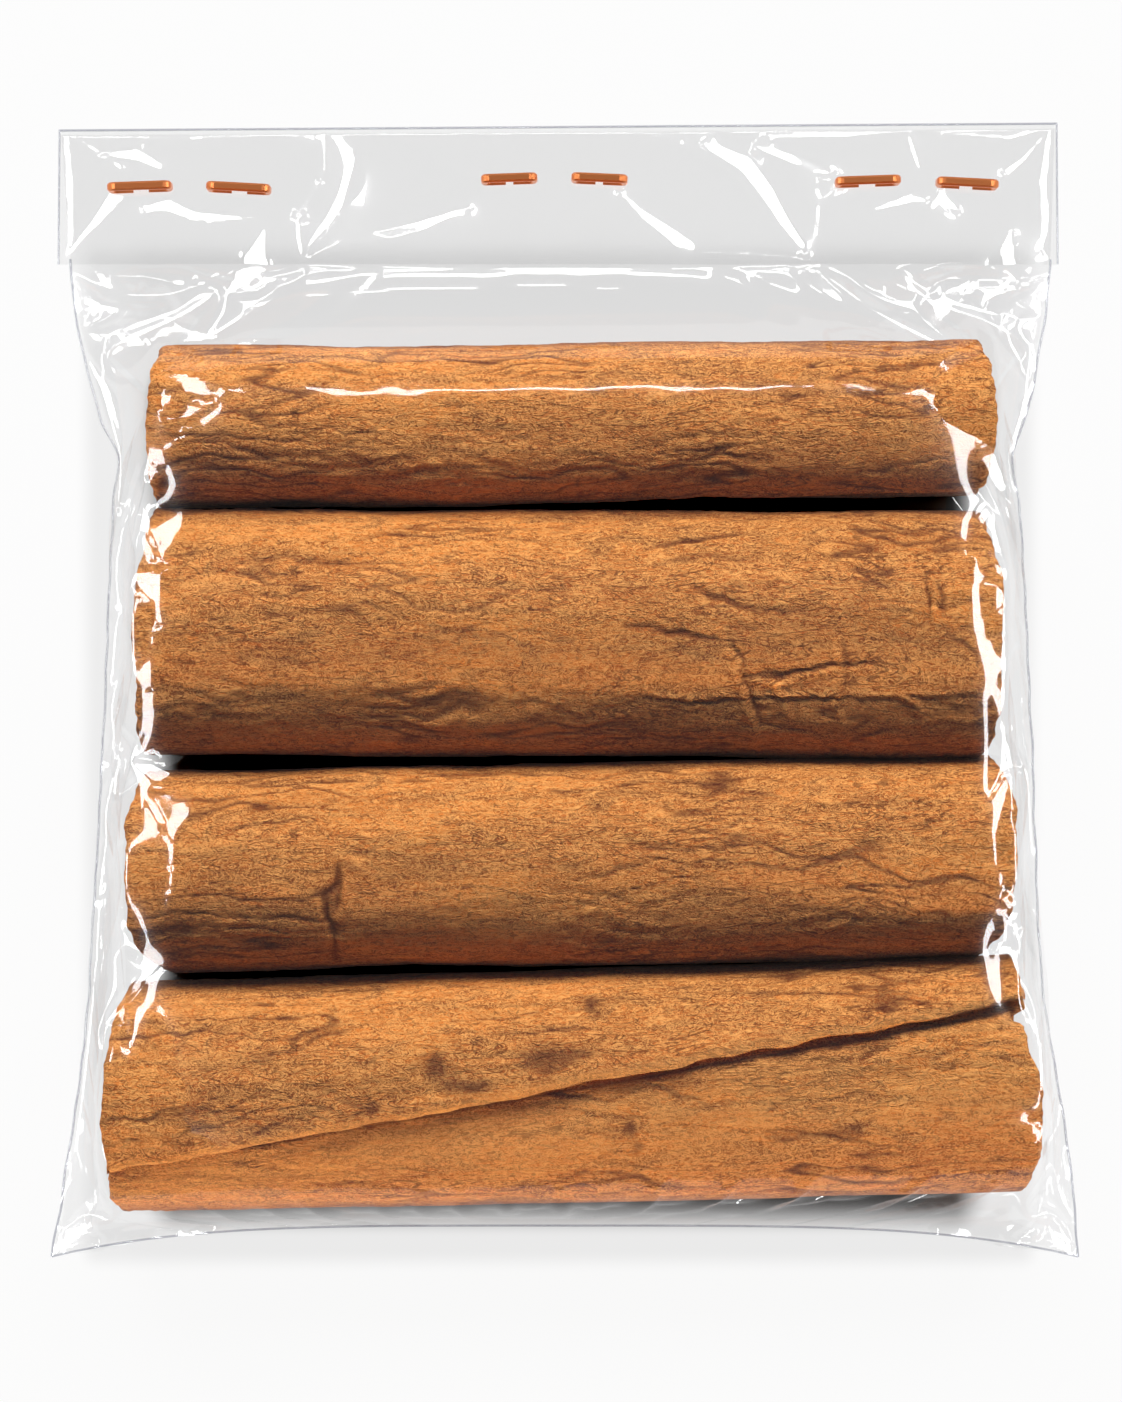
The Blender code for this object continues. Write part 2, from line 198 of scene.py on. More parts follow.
# Painted shadow of the bag in the floor's glow: a box's low and high corner, its soft edge in metres, and how much of
# the glow it takes away.
PAINTED_FLOOR_SHADOWS = (
    ((-0.034, -0.0446), (0.034, 0.026), 0.0036, 0.88),
    ((-0.041, -0.0492), (0.040, 0.0375), 0.0022, 0.13),
    ((-0.036, 0.0200), (0.036, 0.0370), 0.0040, 0.06),
)
EYE = (-0.00035, -0.00095, 0.46275)  # the camera, straight above the bag
SEEN_HEIGHT = 7.45  # mm, the level at which the creases' places are given
SUBJECT = Vector((0, 0, 0.008))
CARD_DISTANCE = 0.9
# Reflecting cards, which only the glossy film and copper see: azimuth from +X, elevation, width and height in metres.
CARDS = {
    "right_card": (0, 42, 0.50, 0.20),
    "left_card": (180, 42, 0.50, 0.20),
    "top_card": (90, 45, 0.20, 0.06),
    "top_right_card": (45, 50, 0.35, 0.11),
    "top_left_card": (135, 50, 0.35, 0.11),
    "low_right_card": (-45, 48, 0.35, 0.11),
    "low_left_card": (-135, 48, 0.35, 0.11),
}

# Creases of the flap, each leaning so that it mirrors one card: (x, y, width) in mm along it.
FLAP_CREASES = (
    ("left_card", ((-43.2, 48.6, 0.4), (-42.9, 44.0, 0.6), (-42.8, 38.5, 0.5))),
    ("top_left_card", ((-43.2, 37.9, 0.3), (-41.0, 40.2, 0.6), (-38.9, 42.8, 1.3))),
    ("top_right_card", ((-43.6, 48.7, 0.15), (-38.6, 45.4, 0.4))),
    ("top_card", ((-40.4, 46.3, 0.3), (-37.0, 46.4, 1.0), (-35.2, 45.4, 0.7))),
    ("top_card", ((-36.2, 41.6, 0.6), (-34.3, 42.0, 1.0), (-32.2, 41.0, 0.8), (-28.1, 41.0, 0.15))),
    ("right_card", ((-20.5, 48.6, 0.4), (-18.9, 46.8, 0.9), (-18.5, 45.0, 1.0), (-19.3, 42.6, 0.8),
                    (-20.7, 40.4, 0.6), (-22.6, 38.0, 0.2))),
    ("left_card", ((-20.9, 49.0, 0.15), (-20.8, 45.1, 0.15), (-21.6, 43.3, 0.15), (-23.1, 41.4, 0.15),
                   (-23.1, 39.2, 0.2), (-22.8, 37.8, 0.25))),
    ("top_card", ((-21.9, 37.6, 0.2), (-17.8, 38.9, 0.7), (-12.6, 40.2, 0.8), (-8.4, 41.9, 0.2))),
    ("right_card", ((-26.0, 39.9, 0.15), (-26.4, 38.6, 1.0), (-26.8, 37.2, 2.0))),
    ("top_card", ((-31.1, 40.5, 0.15), (-26.4, 41.0, 0.15))),
    ("top_right_card", ((7.6, 48.2, 0.12), (12.0, 46.7, 0.18))),
    ("top_right_card", ((12.2, 47.1, 0.5), (15.7, 45.6, 1.4), (17.4, 43.3, 1.2), (19.1, 40.5, 0.8),
                        (20.9, 38.2, 0.4))),
    ("left_card", ((20.9, 38.0, 0.4), (21.8, 39.6, 0.35), (21.9, 41.9, 0.2), (23.4, 43.4, 0.15))),
    ("top_right_card", ((16.8, 46.9, 0.4), (19.8, 46.0, 0.7), (22.9, 44.9, 0.3))),
    ("top_right_card", ((4.8, 43.0, 0.2), (7.0, 41.0, 0.8), (9.9, 39.0, 1.2), (11.3, 38.7, 0.3))),
    ("top_card", ((12.0, 38.0, 0.12), (15.7, 37.9, 0.25), (20.8, 37.4, 0.15))),
    ("top_card", ((26.8, 41.6, 0.3), (30.0, 42.6, 0.8), (31.2, 42.4, 0.2))),
    ("right_card", ((31.7, 41.9, 0.3), (32.6, 42.8, 0.7), (34.0, 41.7, 0.2))),
    ("left_card", ((29.7, 48.0, 0.25), (30.2, 46.5, 0.4), (30.6, 45.2, 0.2))),
    ("top_left_card", ((42.3, 49.0, 0.15), (39.7, 46.0, 0.35), (38.4, 45.0, 0.6))),
    ("top_card", ((42.2, 48.8, 0.15), (38.6, 47.8, 0.3), (33.0, 48.3, 0.15))),
    ("right_card", ((41.9, 48.5, 0.3), (41.4, 44.0, 0.6), (41.8, 38.5, 0.5))),
    ("left_card", ((38.6, 39.6, 0.1), (38.4, 38.5, 0.9), (38.2, 37.2, 1.7))),
    ("top_card", ((-12.0, 48.2, 0.12), (-3.0, 48.5, 0.2), (8.0, 48.5, 0.12))),
    ("top_card", ((17.5, 48.0, 0.2), (24.5, 48.2, 0.6), (29.0, 48.4, 0.2))),
    ("top_card", ((-42.0, 47.9, 0.15), (-33.0, 47.8, 0.35), (-23.0, 48.5, 0.15))),
)
# Creases of the front film over the ends of the quills, in the neck and along the bottom, as the eye sees them.
FRONT_CREASES = (
    ("left_card", ((-35.9, 28.7, 0.15), (-35.1, 27.3, 0.16), (-34.8, 24.9, 0.16), (-34, 24.6, 0.14),
     (-33.4, 23.6, 0.16), (-33.3, 22.4, 0.18), (-33.9, 21.2, 0.30), (-35.1, 20.1, 0.42),
     (-35.9, 19.3, 0.25), (-35.9, 18, 0.20))),
    ("top_left_card", ((-34.6, 27.5, 0.30), (-33.1, 27, 1.00), (-31.5, 26.2, 1.40), (-30.5, 25.8, 1.30),
     (-29.6, 25.8, 0.40))),
    ("left_card", ((-33.4, 25.1, 0.20), (-31.7, 25.3, 0.20), (-30.3, 25.4, 0.40))),
    ("top_left_card", ((-33.3, 23.6, 0.30), (-32.7, 24.1, 1.00), (-32, 24.4, 0.60), (-31.3, 24.7, 0.15))),
    ("top_left_card", ((-35.6, 28.8, 0.30), (-34.6, 29, 0.50), (-33.3, 29.4, 0.20))),
    ("left_card", ((-36.8, 16.3, 0.20), (-36.3, 15.1, 0.35), (-35.8, 13.2, 0.50), (-35.2, 11.3, 0.40),
     (-35.1, 10, 0.20), (-35.3, 8.1, 0.25), (-35.5, 6.1, 0.22), (-35.9, 3.4, 0.20), (-35.9, 1.8, 0.30),
     (-35.7, 0.1, 0.20), (-36.2, -2.2, 0.22), (-37.2, -5, 0.20), (-37.6, -6.3, 0.30))),
    ("top_left_card", ((-35.6, 13.8, 0.70), (-34.6, 13.7, 1.80), (-33.9, 14.1, 1.40), (-33.3, 14.9, 0.30))),
    ("top_left_card", ((-35.1, 11.6, 0.30), (-34.6, 12.9, 1.30))),
    ("left_card", ((-37, 9, 0.30), (-36.3, 8.9, 1.30), (-35.8, 10, 0.50))),
    ("left_card", ((-37.1, 3.1, 0.15), (-36.4, 1.6, 0.18), (-35.9, 0.3, 0.15))),
    ("top_left_card", ((-37.4, -6.4, 0.40), (-35.9, -7, 1.10), (-34.9, -7.4, 1.20), (-34.6, -7.2, 0.50))),
    ("left_card", ((-37.5, -6.3, 0.30), (-36.6, -8.1, 0.45), (-35.5, -10.3, 0.50), (-34.5, -12, 0.40),
     (-33.9, -13.6, 0.25), (-33.9, -15.4, 0.20), (-34.2, -17.1, 0.18), (-34.6, -18.7, 0.14))),
    ("top_left_card", ((-35.9, -9, 0.30), (-34.6, -9.6, 1.30), (-33.5, -10.8, 1.90), (-33.9, -12.1, 1.10),
     (-33.9, -13.2, 0.30))),
    ("low_left_card", ((-35, -22.4, 0.15), (-35.9, -24, 0.45), (-36.9, -25.4, 0.50), (-37.8, -26.8, 0.30))),
    ("low_left_card", ((-37.1, -23.6, 0.30), (-35.9, -22.8, 0.30), (-35.1, -22.4, 0.12))),
    ("low_left_card", ((-37.8, -26.8, 0.30), (-38.5, -28.2, 0.25), (-39, -29.9, 0.15))),
    ("left_card", ((-36.8, -30.3, 1.90), (-37, -31.7, 1.70), (-37.8, -33.1, 1.10), (-38.6, -34.7, 0.55),
     (-39.1, -35.8, 0.40), (-39.7, -37.2, 0.60))),
    ("left_card", ((-39.7, -37.2, 0.50), (-41.3, -39.7, 0.25), (-42.8, -42.3, 0.20), (-44, -45.3, 0.20))),
    ("low_left_card", ((-40.8, -44.9, 1.00), (-40.4, -44.9, 1.00))),
    ("low_left_card", ((-42.2, -45.6, 0.20), (-40.3, -46.1, 0.20), (-38.3, -46.4, 0.20),
     (-36.3, -46.2, 0.15))),
    ("left_card", ((-44.6, -49.1, 0.20), (-43.1, -47.6, 0.45), (-41, -46.2, 0.50))),
    ("left_card", ((-44.2, -45.7, 0.25), (-43.6, -47.6, 0.25))),
    ("low_left_card", ((-40.6, -48.3, 0.20), (-37.3, -47.5, 0.60), (-35.2, -47.2, 1.10),
     (-32.9, -47.1, 0.65), (-30.7, -46.9, 0.20))),
    ("low_left_card", ((-28.4, -46.4, 0.20), (-20.4, -46.2, 0.25), (-12.6, -46.4, 0.15))),
    ("top_right_card", ((32.6, 28, 0.40), (33.6, 28.4, 1.60), (34.9, 29, 1.20), (36, 29.7, 0.90),
     (36.9, 30.3, 0.30))),
    ("top_right_card", ((33.6, 27.5, 1.40), (34.7, 26.3, 1.20), (35.2, 24.7, 0.80), (35.7, 22.8, 0.40),
     (35.9, 21.7, 0.25))),
    ("right_card", ((35.9, 21.7, 0.25), (36.5, 19.9, 0.22), (37, 18.3, 0.20), (37.8, 16.8, 0.22))),
    ("right_card", ((36.3, 27.6, 0.15), (35.9, 26.7, 0.20), (35.9, 23.6, 0.15))),
    ("top_right_card", ((36, 14.7, 0.50), (36.8, 15.6, 0.90), (37.5, 16, 0.30))),
    ("right_card", ((36.8, 15.2, 0.30), (37.2, 13, 0.25), (37.5, 10.2, 0.20), (37.6, 6.1, 0.25))),
    ("right_card", ((35.6, 11.3, 0.30), (35.5, 9.3, 0.55), (35.5, 7.6, 0.70), (35.9, 5.5, 0.80),
     (36.4, 2.9, 0.60), (37, 1.2, 0.80), (37.3, -0.6, 0.30), (37.9, -3.7, 0.25), (38.5, -6.8, 0.25))),
    ("right_card", ((36.4, 4.2, 0.30), (37.2, 3.6, 1.20), (37.4, 2.5, 1.20), (37.2, 1.2, 0.60))),
    ("top_right_card", ((38.5, -7, 0.40), (37.9, -7.9, 0.90), (37.2, -8.6, 0.40))),
    ("right_card", ((38.1, -7.7, 0.50), (37.6, -9.9, 0.42), (37.2, -12.1, 0.34), (37.2, -13.9, 0.30),
     (37.6, -16, 0.28), (38.4, -18.7, 0.25), (39.4, -22, 0.22))),
    ("right_card", ((37.9, -15.8, 0.20), (38.8, -16.7, 0.20))),
    ("top_right_card", ((37.7, -22.3, 0.40), (38.5, -22.4, 0.50), (39, -23.8, 0.40), (38.8, -24.5, 0.20))),
    ("right_card", ((42, -41.3, 0.20), (43, -43.5, 0.22), (44.3, -46.2, 0.20))),
    ("right_card", ((40.6, -37.8, 0.75), (40.9, -38.8, 0.50))),
    ("low_right_card", ((31.8, -47.3, 0.20), (34.9, -47.3, 0.75), (37.7, -47.1, 0.40),
     (41.4, -46.9, 0.20))),
    ("low_right_card", ((34.2, -47.7, 0.20), (38.6, -48.4, 0.25), (43.9, -49.4, 0.20))),
    ("right_card", ((41.7, -46.6, 0.30), (43, -48.1, 0.30), (44.4, -49.4, 0.20))),
    ("low_right_card", ((41.6, -45.6, 0.30), (43.8, -46, 0.30))),
    ("top_card", ((-37.8, 31.3, 0.40), (-35.6, 30.9, 1.30), (-33.4, 30.9, 1.50), (-31.7, 30.6, 1.00),
     (-30.1, 30.4, 0.20))),
    ("top_left_card", ((-41.1, 33.5, 0.30), (-38.4, 32.7, 0.50), (-34.2, 32, 0.30))),
    ("top_left_card", ((-34.1, 30.1, 0.90), (-35.4, 29.3, 0.40))),
    ("top_card", ((-30, 33.5, 0.20), (-29, 34.6, 0.60), (-27.6, 36, 1.50), (-26.1, 36.7, 0.90))),
    ("left_card", ((-41.2, 28.5, 0.30), (-40.2, 26.7, 0.40), (-39.1, 23.9, 0.40), (-38.4, 21.7, 0.30),
     (-38.2, 20, 0.20))),
    ("top_card", ((32.1, 31.8, 1.30), (32.5, 33.3, 1.50), (33.8, 34.2, 1.20), (34.9, 35.2, 0.40))),
    ("top_right_card", ((34.6, 33.4, 0.25), (36, 34.1, 0.30), (38.6, 34.7, 0.30), (41, 35.4, 0.20))),
    ("top_right_card", ((37.5, 30.8, 0.40), (39.1, 32.5, 0.40), (41.5, 35.2, 0.25))),
    ("right_card", ((40.4, 28.6, 0.40), (40.4, 26.5, 0.40), (39.4, 23.4, 0.25), (38.6, 20.4, 0.25))),
    ("top_card", ((25.9, 31.8, 0.15), (28.1, 32.5, 0.20), (31.2, 32.9, 0.15))),
    ("top_card", ((-22.9, 34.1, 0.15), (-12.6, 34.8, 0.30), (-0.4, 35, 0.20), (6.5, 34.6, 0.15))),
)
STAPLE_SPOTS = ((-37.0, 43.8), (-28.4, 43.7), (-4.85, 44.5), (3.0, 44.5), (26.35, 44.3), (35.0, 44.1))


# ---------------------------------------------------------------------------------------------------- small tools


def add_node(tree, kind, settings=None, **links):
    """A node of that kind with its settings and inputs; a link's value is another node's output or a constant."""
    node = tree.nodes.new(kind)
    for name, value in (settings or {}).items():
        setattr(node, name, value)
    for name, value in links.items():
        key = int(name[1:]) if name[0] == "_" and name[1:].isdigit() else name.replace("_", " ")
        socket = node.inputs[key]
        if isinstance(value, bpy.types.NodeSocket):
            tree.links.new(value, socket)
        else:
            socket.default_value = value
    return node


def new_material(name):
    """An empty material and its tree, with only an output node."""
    material = bpy.data.materials.new(name)
    material.use_nodes = True
    tree = material.node_tree
    tree.nodes.clear()
    return material, tree, tree.nodes.new("ShaderNodeOutputMaterial")


def gradient_noise(u, v, seed):
    """Noise of about -1 to 1: each lattice corner has a random slope, and the four slopes' planes are blended."""
    rng = np.random.default_rng(seed)
    size = 128
    angle = rng.uniform(0, 2 * math.pi, (size, size))
    iu, iv = np.floor(u).astype(int), np.floor(v).astype(int)
    fu, fv = u - iu, v - iv

    def corner(du, dv):
        turn = angle[(iu + du) % size, (iv + dv) % size]
        return np.cos(turn) * (fu - du) + np.sin(turn) * (fv - dv)

    su, sv = fu * fu * fu * (fu * (6 * fu - 15) + 10), fv * fv * fv * (fv * (6 * fv - 15) + 10)
    near = corner(0, 0) * (1 - su) + corner(1, 0) * su
    far = corner(0, 1) * (1 - su) + corner(1, 1) * su
    return 1.5 * (near * (1 - sv) + far * sv)


def ease(t):
    """0 to 1 along a smooth S."""
    t = np.clip(t, 0, 1)
    return t * t * (3 - 2 * t)


def smooth_curve(points, at):
    """Cubic Hermite curve through (position, value) points, with slopes that never overshoot them."""
    position, value = (np.array(column, float) for column in zip(*points))
    step = np.diff(position)
    chord = np.diff(value) / step
    product = chord[:-1] * chord[1:]
    total = np.where(product > 0, chord[:-1] + chord[1:], 1.0)
    inner = np.where(product > 0, 2 * product / total, 0.0)
    slope = np.concatenate([chord[:1], inner, chord[-1:]])
    cell = np.clip(np.searchsorted(position, at, side="right") - 1, 0, len(step) - 1)
    t = np.clip((at - position[cell]) / step[cell], 0, 1)
    bend = slope[cell] * step[cell] * t * (1 - t) ** 2 - slope[cell + 1] * step[cell] * t * t * (1 - t)
    return value[cell] + (value[cell + 1] - value[cell]) * t * t * (3 - 2 * t) + bend


def resample(values, count, axis, at=None):
    """Values carried to new places along an axis by a Catmull-Rom curve through each four neighbours."""
    values = np.moveaxis(values, axis, 0)
    last = len(values) - 1
    at = np.linspace(0, last, count) if at is None else at * last
    cell = np.clip(np.floor(at).astype(int), 0, last - 1)
    t = (at - cell).reshape((-1,) + (1,) * (values.ndim - 1))
    first, final = (cell == 0).reshape(t.shape), (cell == last - 1).reshape(t.shape)
    p1, p2 = values[cell], values[cell + 1]
    p0 = np.where(first, 2 * p1 - p2, values[np.maximum(cell - 1, 0)])
    p3 = np.where(final, 2 * p2 - p1, values[np.minimum(cell + 2, last)])
    curve = p1 + 0.5 * t * (p2 - p0 + t * (2 * p0 - 5 * p1 + 4 * p2 - p3 + t * (3 * (p1 - p2) + p3 - p0)))
    return np.moveaxis(curve, 0, axis)


def grid_faces(index, closed):
    """Quads of a grid of vertex numbers; closed joins the last column to the first."""
    across = np.roll(index, -1, axis=1) if closed else index[:, 1:]
    here = index if closed else index[:, :-1]
    return np.stack([here[:-1], across[:-1], across[1:], here[1:]], -1).reshape(-1, 4)


def new_piece(name, points, quads, polygons=(), smooth_angle=None):
    """An object at the origin from points in mm, an array of quads and a list of other polygons."""
    mesh = bpy.data.meshes.new(name)
    flat = [quads.reshape(-1)] + [np.asarray(p) for p in polygons]
    sizes = np.concatenate([np.full(len(quads), 4), [len(p) for p in polygons]]).astype(np.int32)
    corners = np.concatenate(flat).astype(np.int32)
    points = np.asarray(points, np.float32).reshape(-1, 3) * MM
    mesh.vertices.add(len(points))
    mesh.vertices.foreach_set("co", points.reshape(-1))
    mesh.loops.add(len(corners))
    mesh.loops.foreach_set("vertex_index", corners)
    mesh.polygons.add(len(sizes))
    mesh.polygons.foreach_set("loop_start", (np.cumsum(sizes) - sizes).astype(np.int32))
    mesh.update(calc_edges=True)
    mesh.validate()
    mesh.shade_smooth()
    if smooth_angle:
        mesh.set_sharp_from_angle(angle=math.radians(smooth_angle))
    piece = bpy.data.objects.new(name, mesh)
    bpy.context.scene.collection.objects.link(piece)
    return piece


def set_attribute(piece, name, values):
    """A number for each vertex, which the piece's material reads by name."""
    attribute = piece.data.attributes.new(name, "FLOAT", "POINT")
    attribute.data.foreach_set("value", np.asarray(values, np.float32).reshape(-1))


def set_uv(piece, u, v):
    """A UV map from two numbers for each vertex."""
    layer = piece.data.uv_layers.new(name="bark_grain")
    corners = np.empty(len(piece.data.loops), np.int32)
    piece.data.loops.foreach_get("vertex_index", corners)
    both = np.stack([np.asarray(u).reshape(-1)[corners], np.asarray(v).reshape(-1)[corners]], -1)
    layer.data.foreach_set("uv", both.astype(np.float32).reshape(-1))


def finish_piece(piece, material):
    """Gives a piece its material and says that it rides on the body and stands for a share of the solid bag."""
    piece.data.materials.append(material)
    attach(piece, "root")
    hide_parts("bag")
    return piece


def finish_film(piece, material):
    """Finishes a piece of clear film, which is too thin to shade or mirror in what is by it."""
    piece.visible_shadow = False
    piece.visible_diffuse = False
    piece.visible_glossy = False
    return finish_piece(piece, material)


# ----------------------------------------------------------------------------------------------------- the quills


def distance_to_stroke(u, v, points):
    """Distance from each (u, v) to the nearest of a stroke's straight runs, and the share of the way along it."""
    nearest, along = np.full(u.shape, 1e3), np.zeros(u.shape)
    for number, ((u0, v0), (u1, v1)) in enumerate(zip(points, points[1:])):
        du, dv = u1 - u0, v1 - v0
        t = np.clip(((u - u0) * du + (v - v0) * dv) / (du * du + dv * dv), 0, 1)
        away = np.hypot(u - u0 - t * du, v - v0 - t * dv)
        along = np.where(away < nearest, (number + t) / (len(points) - 1), along)
        nearest = np.minimum(nearest, away)
    return nearest, along


def bark_relief(quill, u, w, radius):
    """Height of the bark over its plain roll, and its stain, at u mm along the stick and w mm around it.

    The height adds slow humps, long fibres bent by a slow warp, curled flakes and the quill's own marks.
    """
    seed = quill.seed
    warp = 1.6 * gradient_noise(u / 9, w / 5, seed) + 0.5 * gradient_noise(u / 2.6, w / 1.7, seed + 1)
    bent = w + warp * 0.8
    hump = gradient_noise(u / 13, w / 4.5, seed + 2)
    fibre = gradient_noise(u / 5.5, bent / 1.1, seed + 3)
    fine = gradient_noise(u / 2.0, bent / 0.6, seed + 4)
    curl = gradient_noise(u / 1.3 + 0.5 * warp, bent / 0.8, seed + 5)
    flake = 1 - np.abs(curl) * 2
    grooves = -np.clip(np.abs(gradient_noise(u / 13, bent / 1.5, seed + 6)) * 5, 0, 1)
    groove_place = ease((gradient_noise(u / 18, w / 7, seed + 7) + 0.15) * 3)
    rough_place = 0.5 + ease(gradient_noise(u / 20, w / 9, seed + 10) * 2 + 0.5)
    height = 0.17 * hump + (0.07 * fibre + 0.05 * fine + 0.05 * flake) * rough_place
    height -= 0.11 * (1 + grooves) * groove_place
    stain = 0.85 * (1 + grooves) * groove_place
    wobble_u = u + 0.28 * gradient_noise(u / 1.6, w / 1.6, seed + 8)
    wobble_w = (w + 0.28 * gradient_noise(u / 1.6, w / 1.6, seed + 9)) % (2 * math.pi * radius)
    for mark in quill.marks:
        route = [(x, radius * math.acos(share)) for x, share in mark.points]
        away, along = distance_to_stroke(wobble_u, wobble_w, route)
        bump = np.exp(-(away / mark.width) ** 2 * 1.5) * np.sin(math.pi * np.clip(along * 0.9 + 0.05, 0, 1)) ** 0.5
        height += mark.height * bump
        stain = stain * (1 - bump) + mark.stain * bump
    return height, stain


def quill_profile(quill, x, travelled, gap):
    """Angle and inward shift of the rolled sheet, in mm, for each x and each number of degrees along it.

    The sheet starts at its free edge, which stands a third of its thickness and its curl over the plain roll, and
    settles on it within 100 degrees. Towards the end of the turn it sinks to make room for that edge. Each later
    turn lies one wall and one gap further in, and the core loosens towards its end.
    """
    share = (x - quill.left) / (quill.right - quill.left)
    start = quill.edge_left + (quill.edge_right - quill.edge_left) * share
    theta = start[:, None] - travelled
    turn = np.floor(travelled / 360)
    within = travelled - 360 * turn
    over = 0.35 * quill.wall
    rise = -over * (1 - ease(within / 100)) - quill.curl * (1 - ease(within / 14)) * (turn == 0)
    sunk = (quill.wall - over + gap) * ease((within - 240) / 120)
    slipped = quill.slip * ease((within - 300) / 40) * (turn == 0) * ease(share * 1.6 - 0.5)[:, None]
    loose = 2.2 * ease((travelled - 400) / 500) ** 1.2
    return theta, rise + sunk - slipped + turn * (quill.wall + gap) + loose


def sheet_places(quill, total, count):
    """Degrees along the sheet of its points: close together where it shows, wider apart in the hidden turns."""
    high, low = max(quill.edge_left, quill.edge_right), min(quill.edge_left, quill.edge_right)
    shown, hidden = 3.2, 0.9
    spans = [(0, high + 8, shown), (high + 8, low + 172, hidden), (low + 172, 362, shown), (362, total, hidden)]
    reached, knots = 0.0, [(0.0, 0.0)]
    for start, end, density in spans:
        if end > start:
            reached += (end - start) * density
            knots.append((reached, end))
    places, angles = zip(*knots)
    return np.interp(np.linspace(0, reached, count), places, angles)


def build_quill(quill, sizes, material):
    """A sheet of bark rolled about the stick's length: a closed ring of points for each x, joined along X.

    The ring runs along the sheet's outside from its free edge to its core and back along its inside, where each
    point stands for a few of the outer ones.
    """
    stations, run, step = sizes.stations, sizes.around, 4
    even = np.linspace(0, 1, stations)
    along = 0.82 * even + 0.18 * (1 - np.cos(math.pi * even)) / 2
    x = quill.left + along * (quill.right - quill.left)
    travelled = sheet_places(quill, 360 * quill.turns, run)[None]
    theta, inset = quill_profile(quill, x, travelled, sizes.roll_gap / MM)

    radians = np.radians(theta)
    radius = (quill.half_width + quill.half_height) / 2
    w = radians * radius
    u = x[:, None] + 0 * w
    height, stain = bark_relief(quill, u, w, radius)
    outer_turn = ease((366 - travelled) / 6) + 0 * w
    lumps = 0.3 * gradient_noise(u / 22, w / 9, quill.seed + 20)
    outward = (height + lumps) * outer_turn
    beside = np.abs(np.sin(radians))
    outward = np.minimum(outward, 0.08 + 0.6 * beside)
    nearness = np.minimum(u - quill.left, quill.right - u)
    worn = np.clip(1 - nearness / 0.55, 0, 1) ** 2 * 0.35
    from_edge = travelled * math.pi / 180 * radius
    thin = np.clip(1 - from_edge / 0.9, 0, 1) ** 2 * 0.4
    frayed = 0.25 * gradient_noise(u / 3.1, 0 * w + 0.5, quill.seed + 23) * np.clip(1 - from_edge / 3, 0, 1)
    outside = inset - outward + worn + thin
    inside = inset + quill.wall - 0.25 * lumps - worn - thin + 0.05 * gradient_noise(u / 3, w / 1.5, quill.seed + 21)

    def place(shift):
        turned = radians + frayed / radius
        y = quill.middle(u) + (quill.half_width - shift) * np.cos(turned)
        z = quill.half_height + 0.15 + (quill.half_height - shift) * np.sin(turned)
        torn = 0.2 * gradient_noise(w / 2.3, 0 * w + 3.3, quill.seed + 22)
        torn += 0.12 * gradient_noise(w / 0.7, 0 * w + 7.3, quill.seed + 24)
        side = 2 * along[:, None] - 1
        low, high = smooth_curve(quill.left_end, np.cos(radians)), smooth_curve(quill.right_end, np.cos(radians))
        short = np.where(side < 0, low, -high) - np.sign(side) * (torn + 0.25)
        return np.stack([u + short * np.clip(np.abs(side) * 4 - 3, 0, 1) ** 2, y, np.maximum(z, 0.12)], -1)

    outer_points, inner_points = place(outside), place(inside)[:, ::step]
    ring = np.concatenate([outer_points, inner_points[:, ::-1]], axis=1)
    count = ring.shape[1]
    index = np.arange(stations * count).reshape(stations, count)
    caps = []
    for number, row in enumerate((index[0], index[-1])):
        outer, inner = row[:run], row[run:][::-1]
        for k in range(len(inner) - 1):
            face = [*outer[k * step:(k + 1) * step + 1], inner[k + 1], inner[k]]
            caps.append(face[::-1] if number == 0 else face)
    piece = new_piece(quill.name, ring, grid_faces(index, closed=True)[:, ::-1], caps, smooth_angle=48)

    def ring_values(outer_values, inner_values):
        return np.concatenate([outer_values, inner_values[:, ::step][:, ::-1]], axis=1)

    set_uv(piece, ring_values(u, u) * MM * 10, ring_values(w, w + 0.3) * MM * 10)
    lip = np.clip(1.6 - from_edge / 0.6, 0, 1)
    # painted shadow: a dark line on the layer right under the free edge, where the edge's shadow falls
    painted_shadow_under_lip = 0.9 * np.clip(1 - np.abs(travelled - 358) * math.pi / 180 * radius / 0.5, 0, 1)
    # painted shade: the bark darkens towards both long sides of each quill, where its surface turns away from the top
    painted_limb_shade = 0.8 * ease((0.6 - np.sin(radians)) / 0.5)
    stain = np.maximum(stain, painted_limb_shade)
    # the bark is made paler over the stretch of the outer turn that runs in under the free edge
    paler_lower_layer = 0.3 * ease((travelled - 285) / 50)
    stain = stain * (1 - lip) - 0.45 * lip - paler_lower_layer
    stain = stain * (1 - painted_shadow_under_lip) + painted_shadow_under_lip
    # the stain attribute holds the bark's real stains and also its painted shade on the long sides and under the free
    # edge
    set_attribute(piece, "bark_stain_and_shade", ring_values(stain, 0.3 + 0 * stain))
    set_attribute(piece, "bark_lift", ring_values(height, 0 * height))
    return finish_piece(piece, material)


# ------------------------------------------------------------------------------------------------------- the film


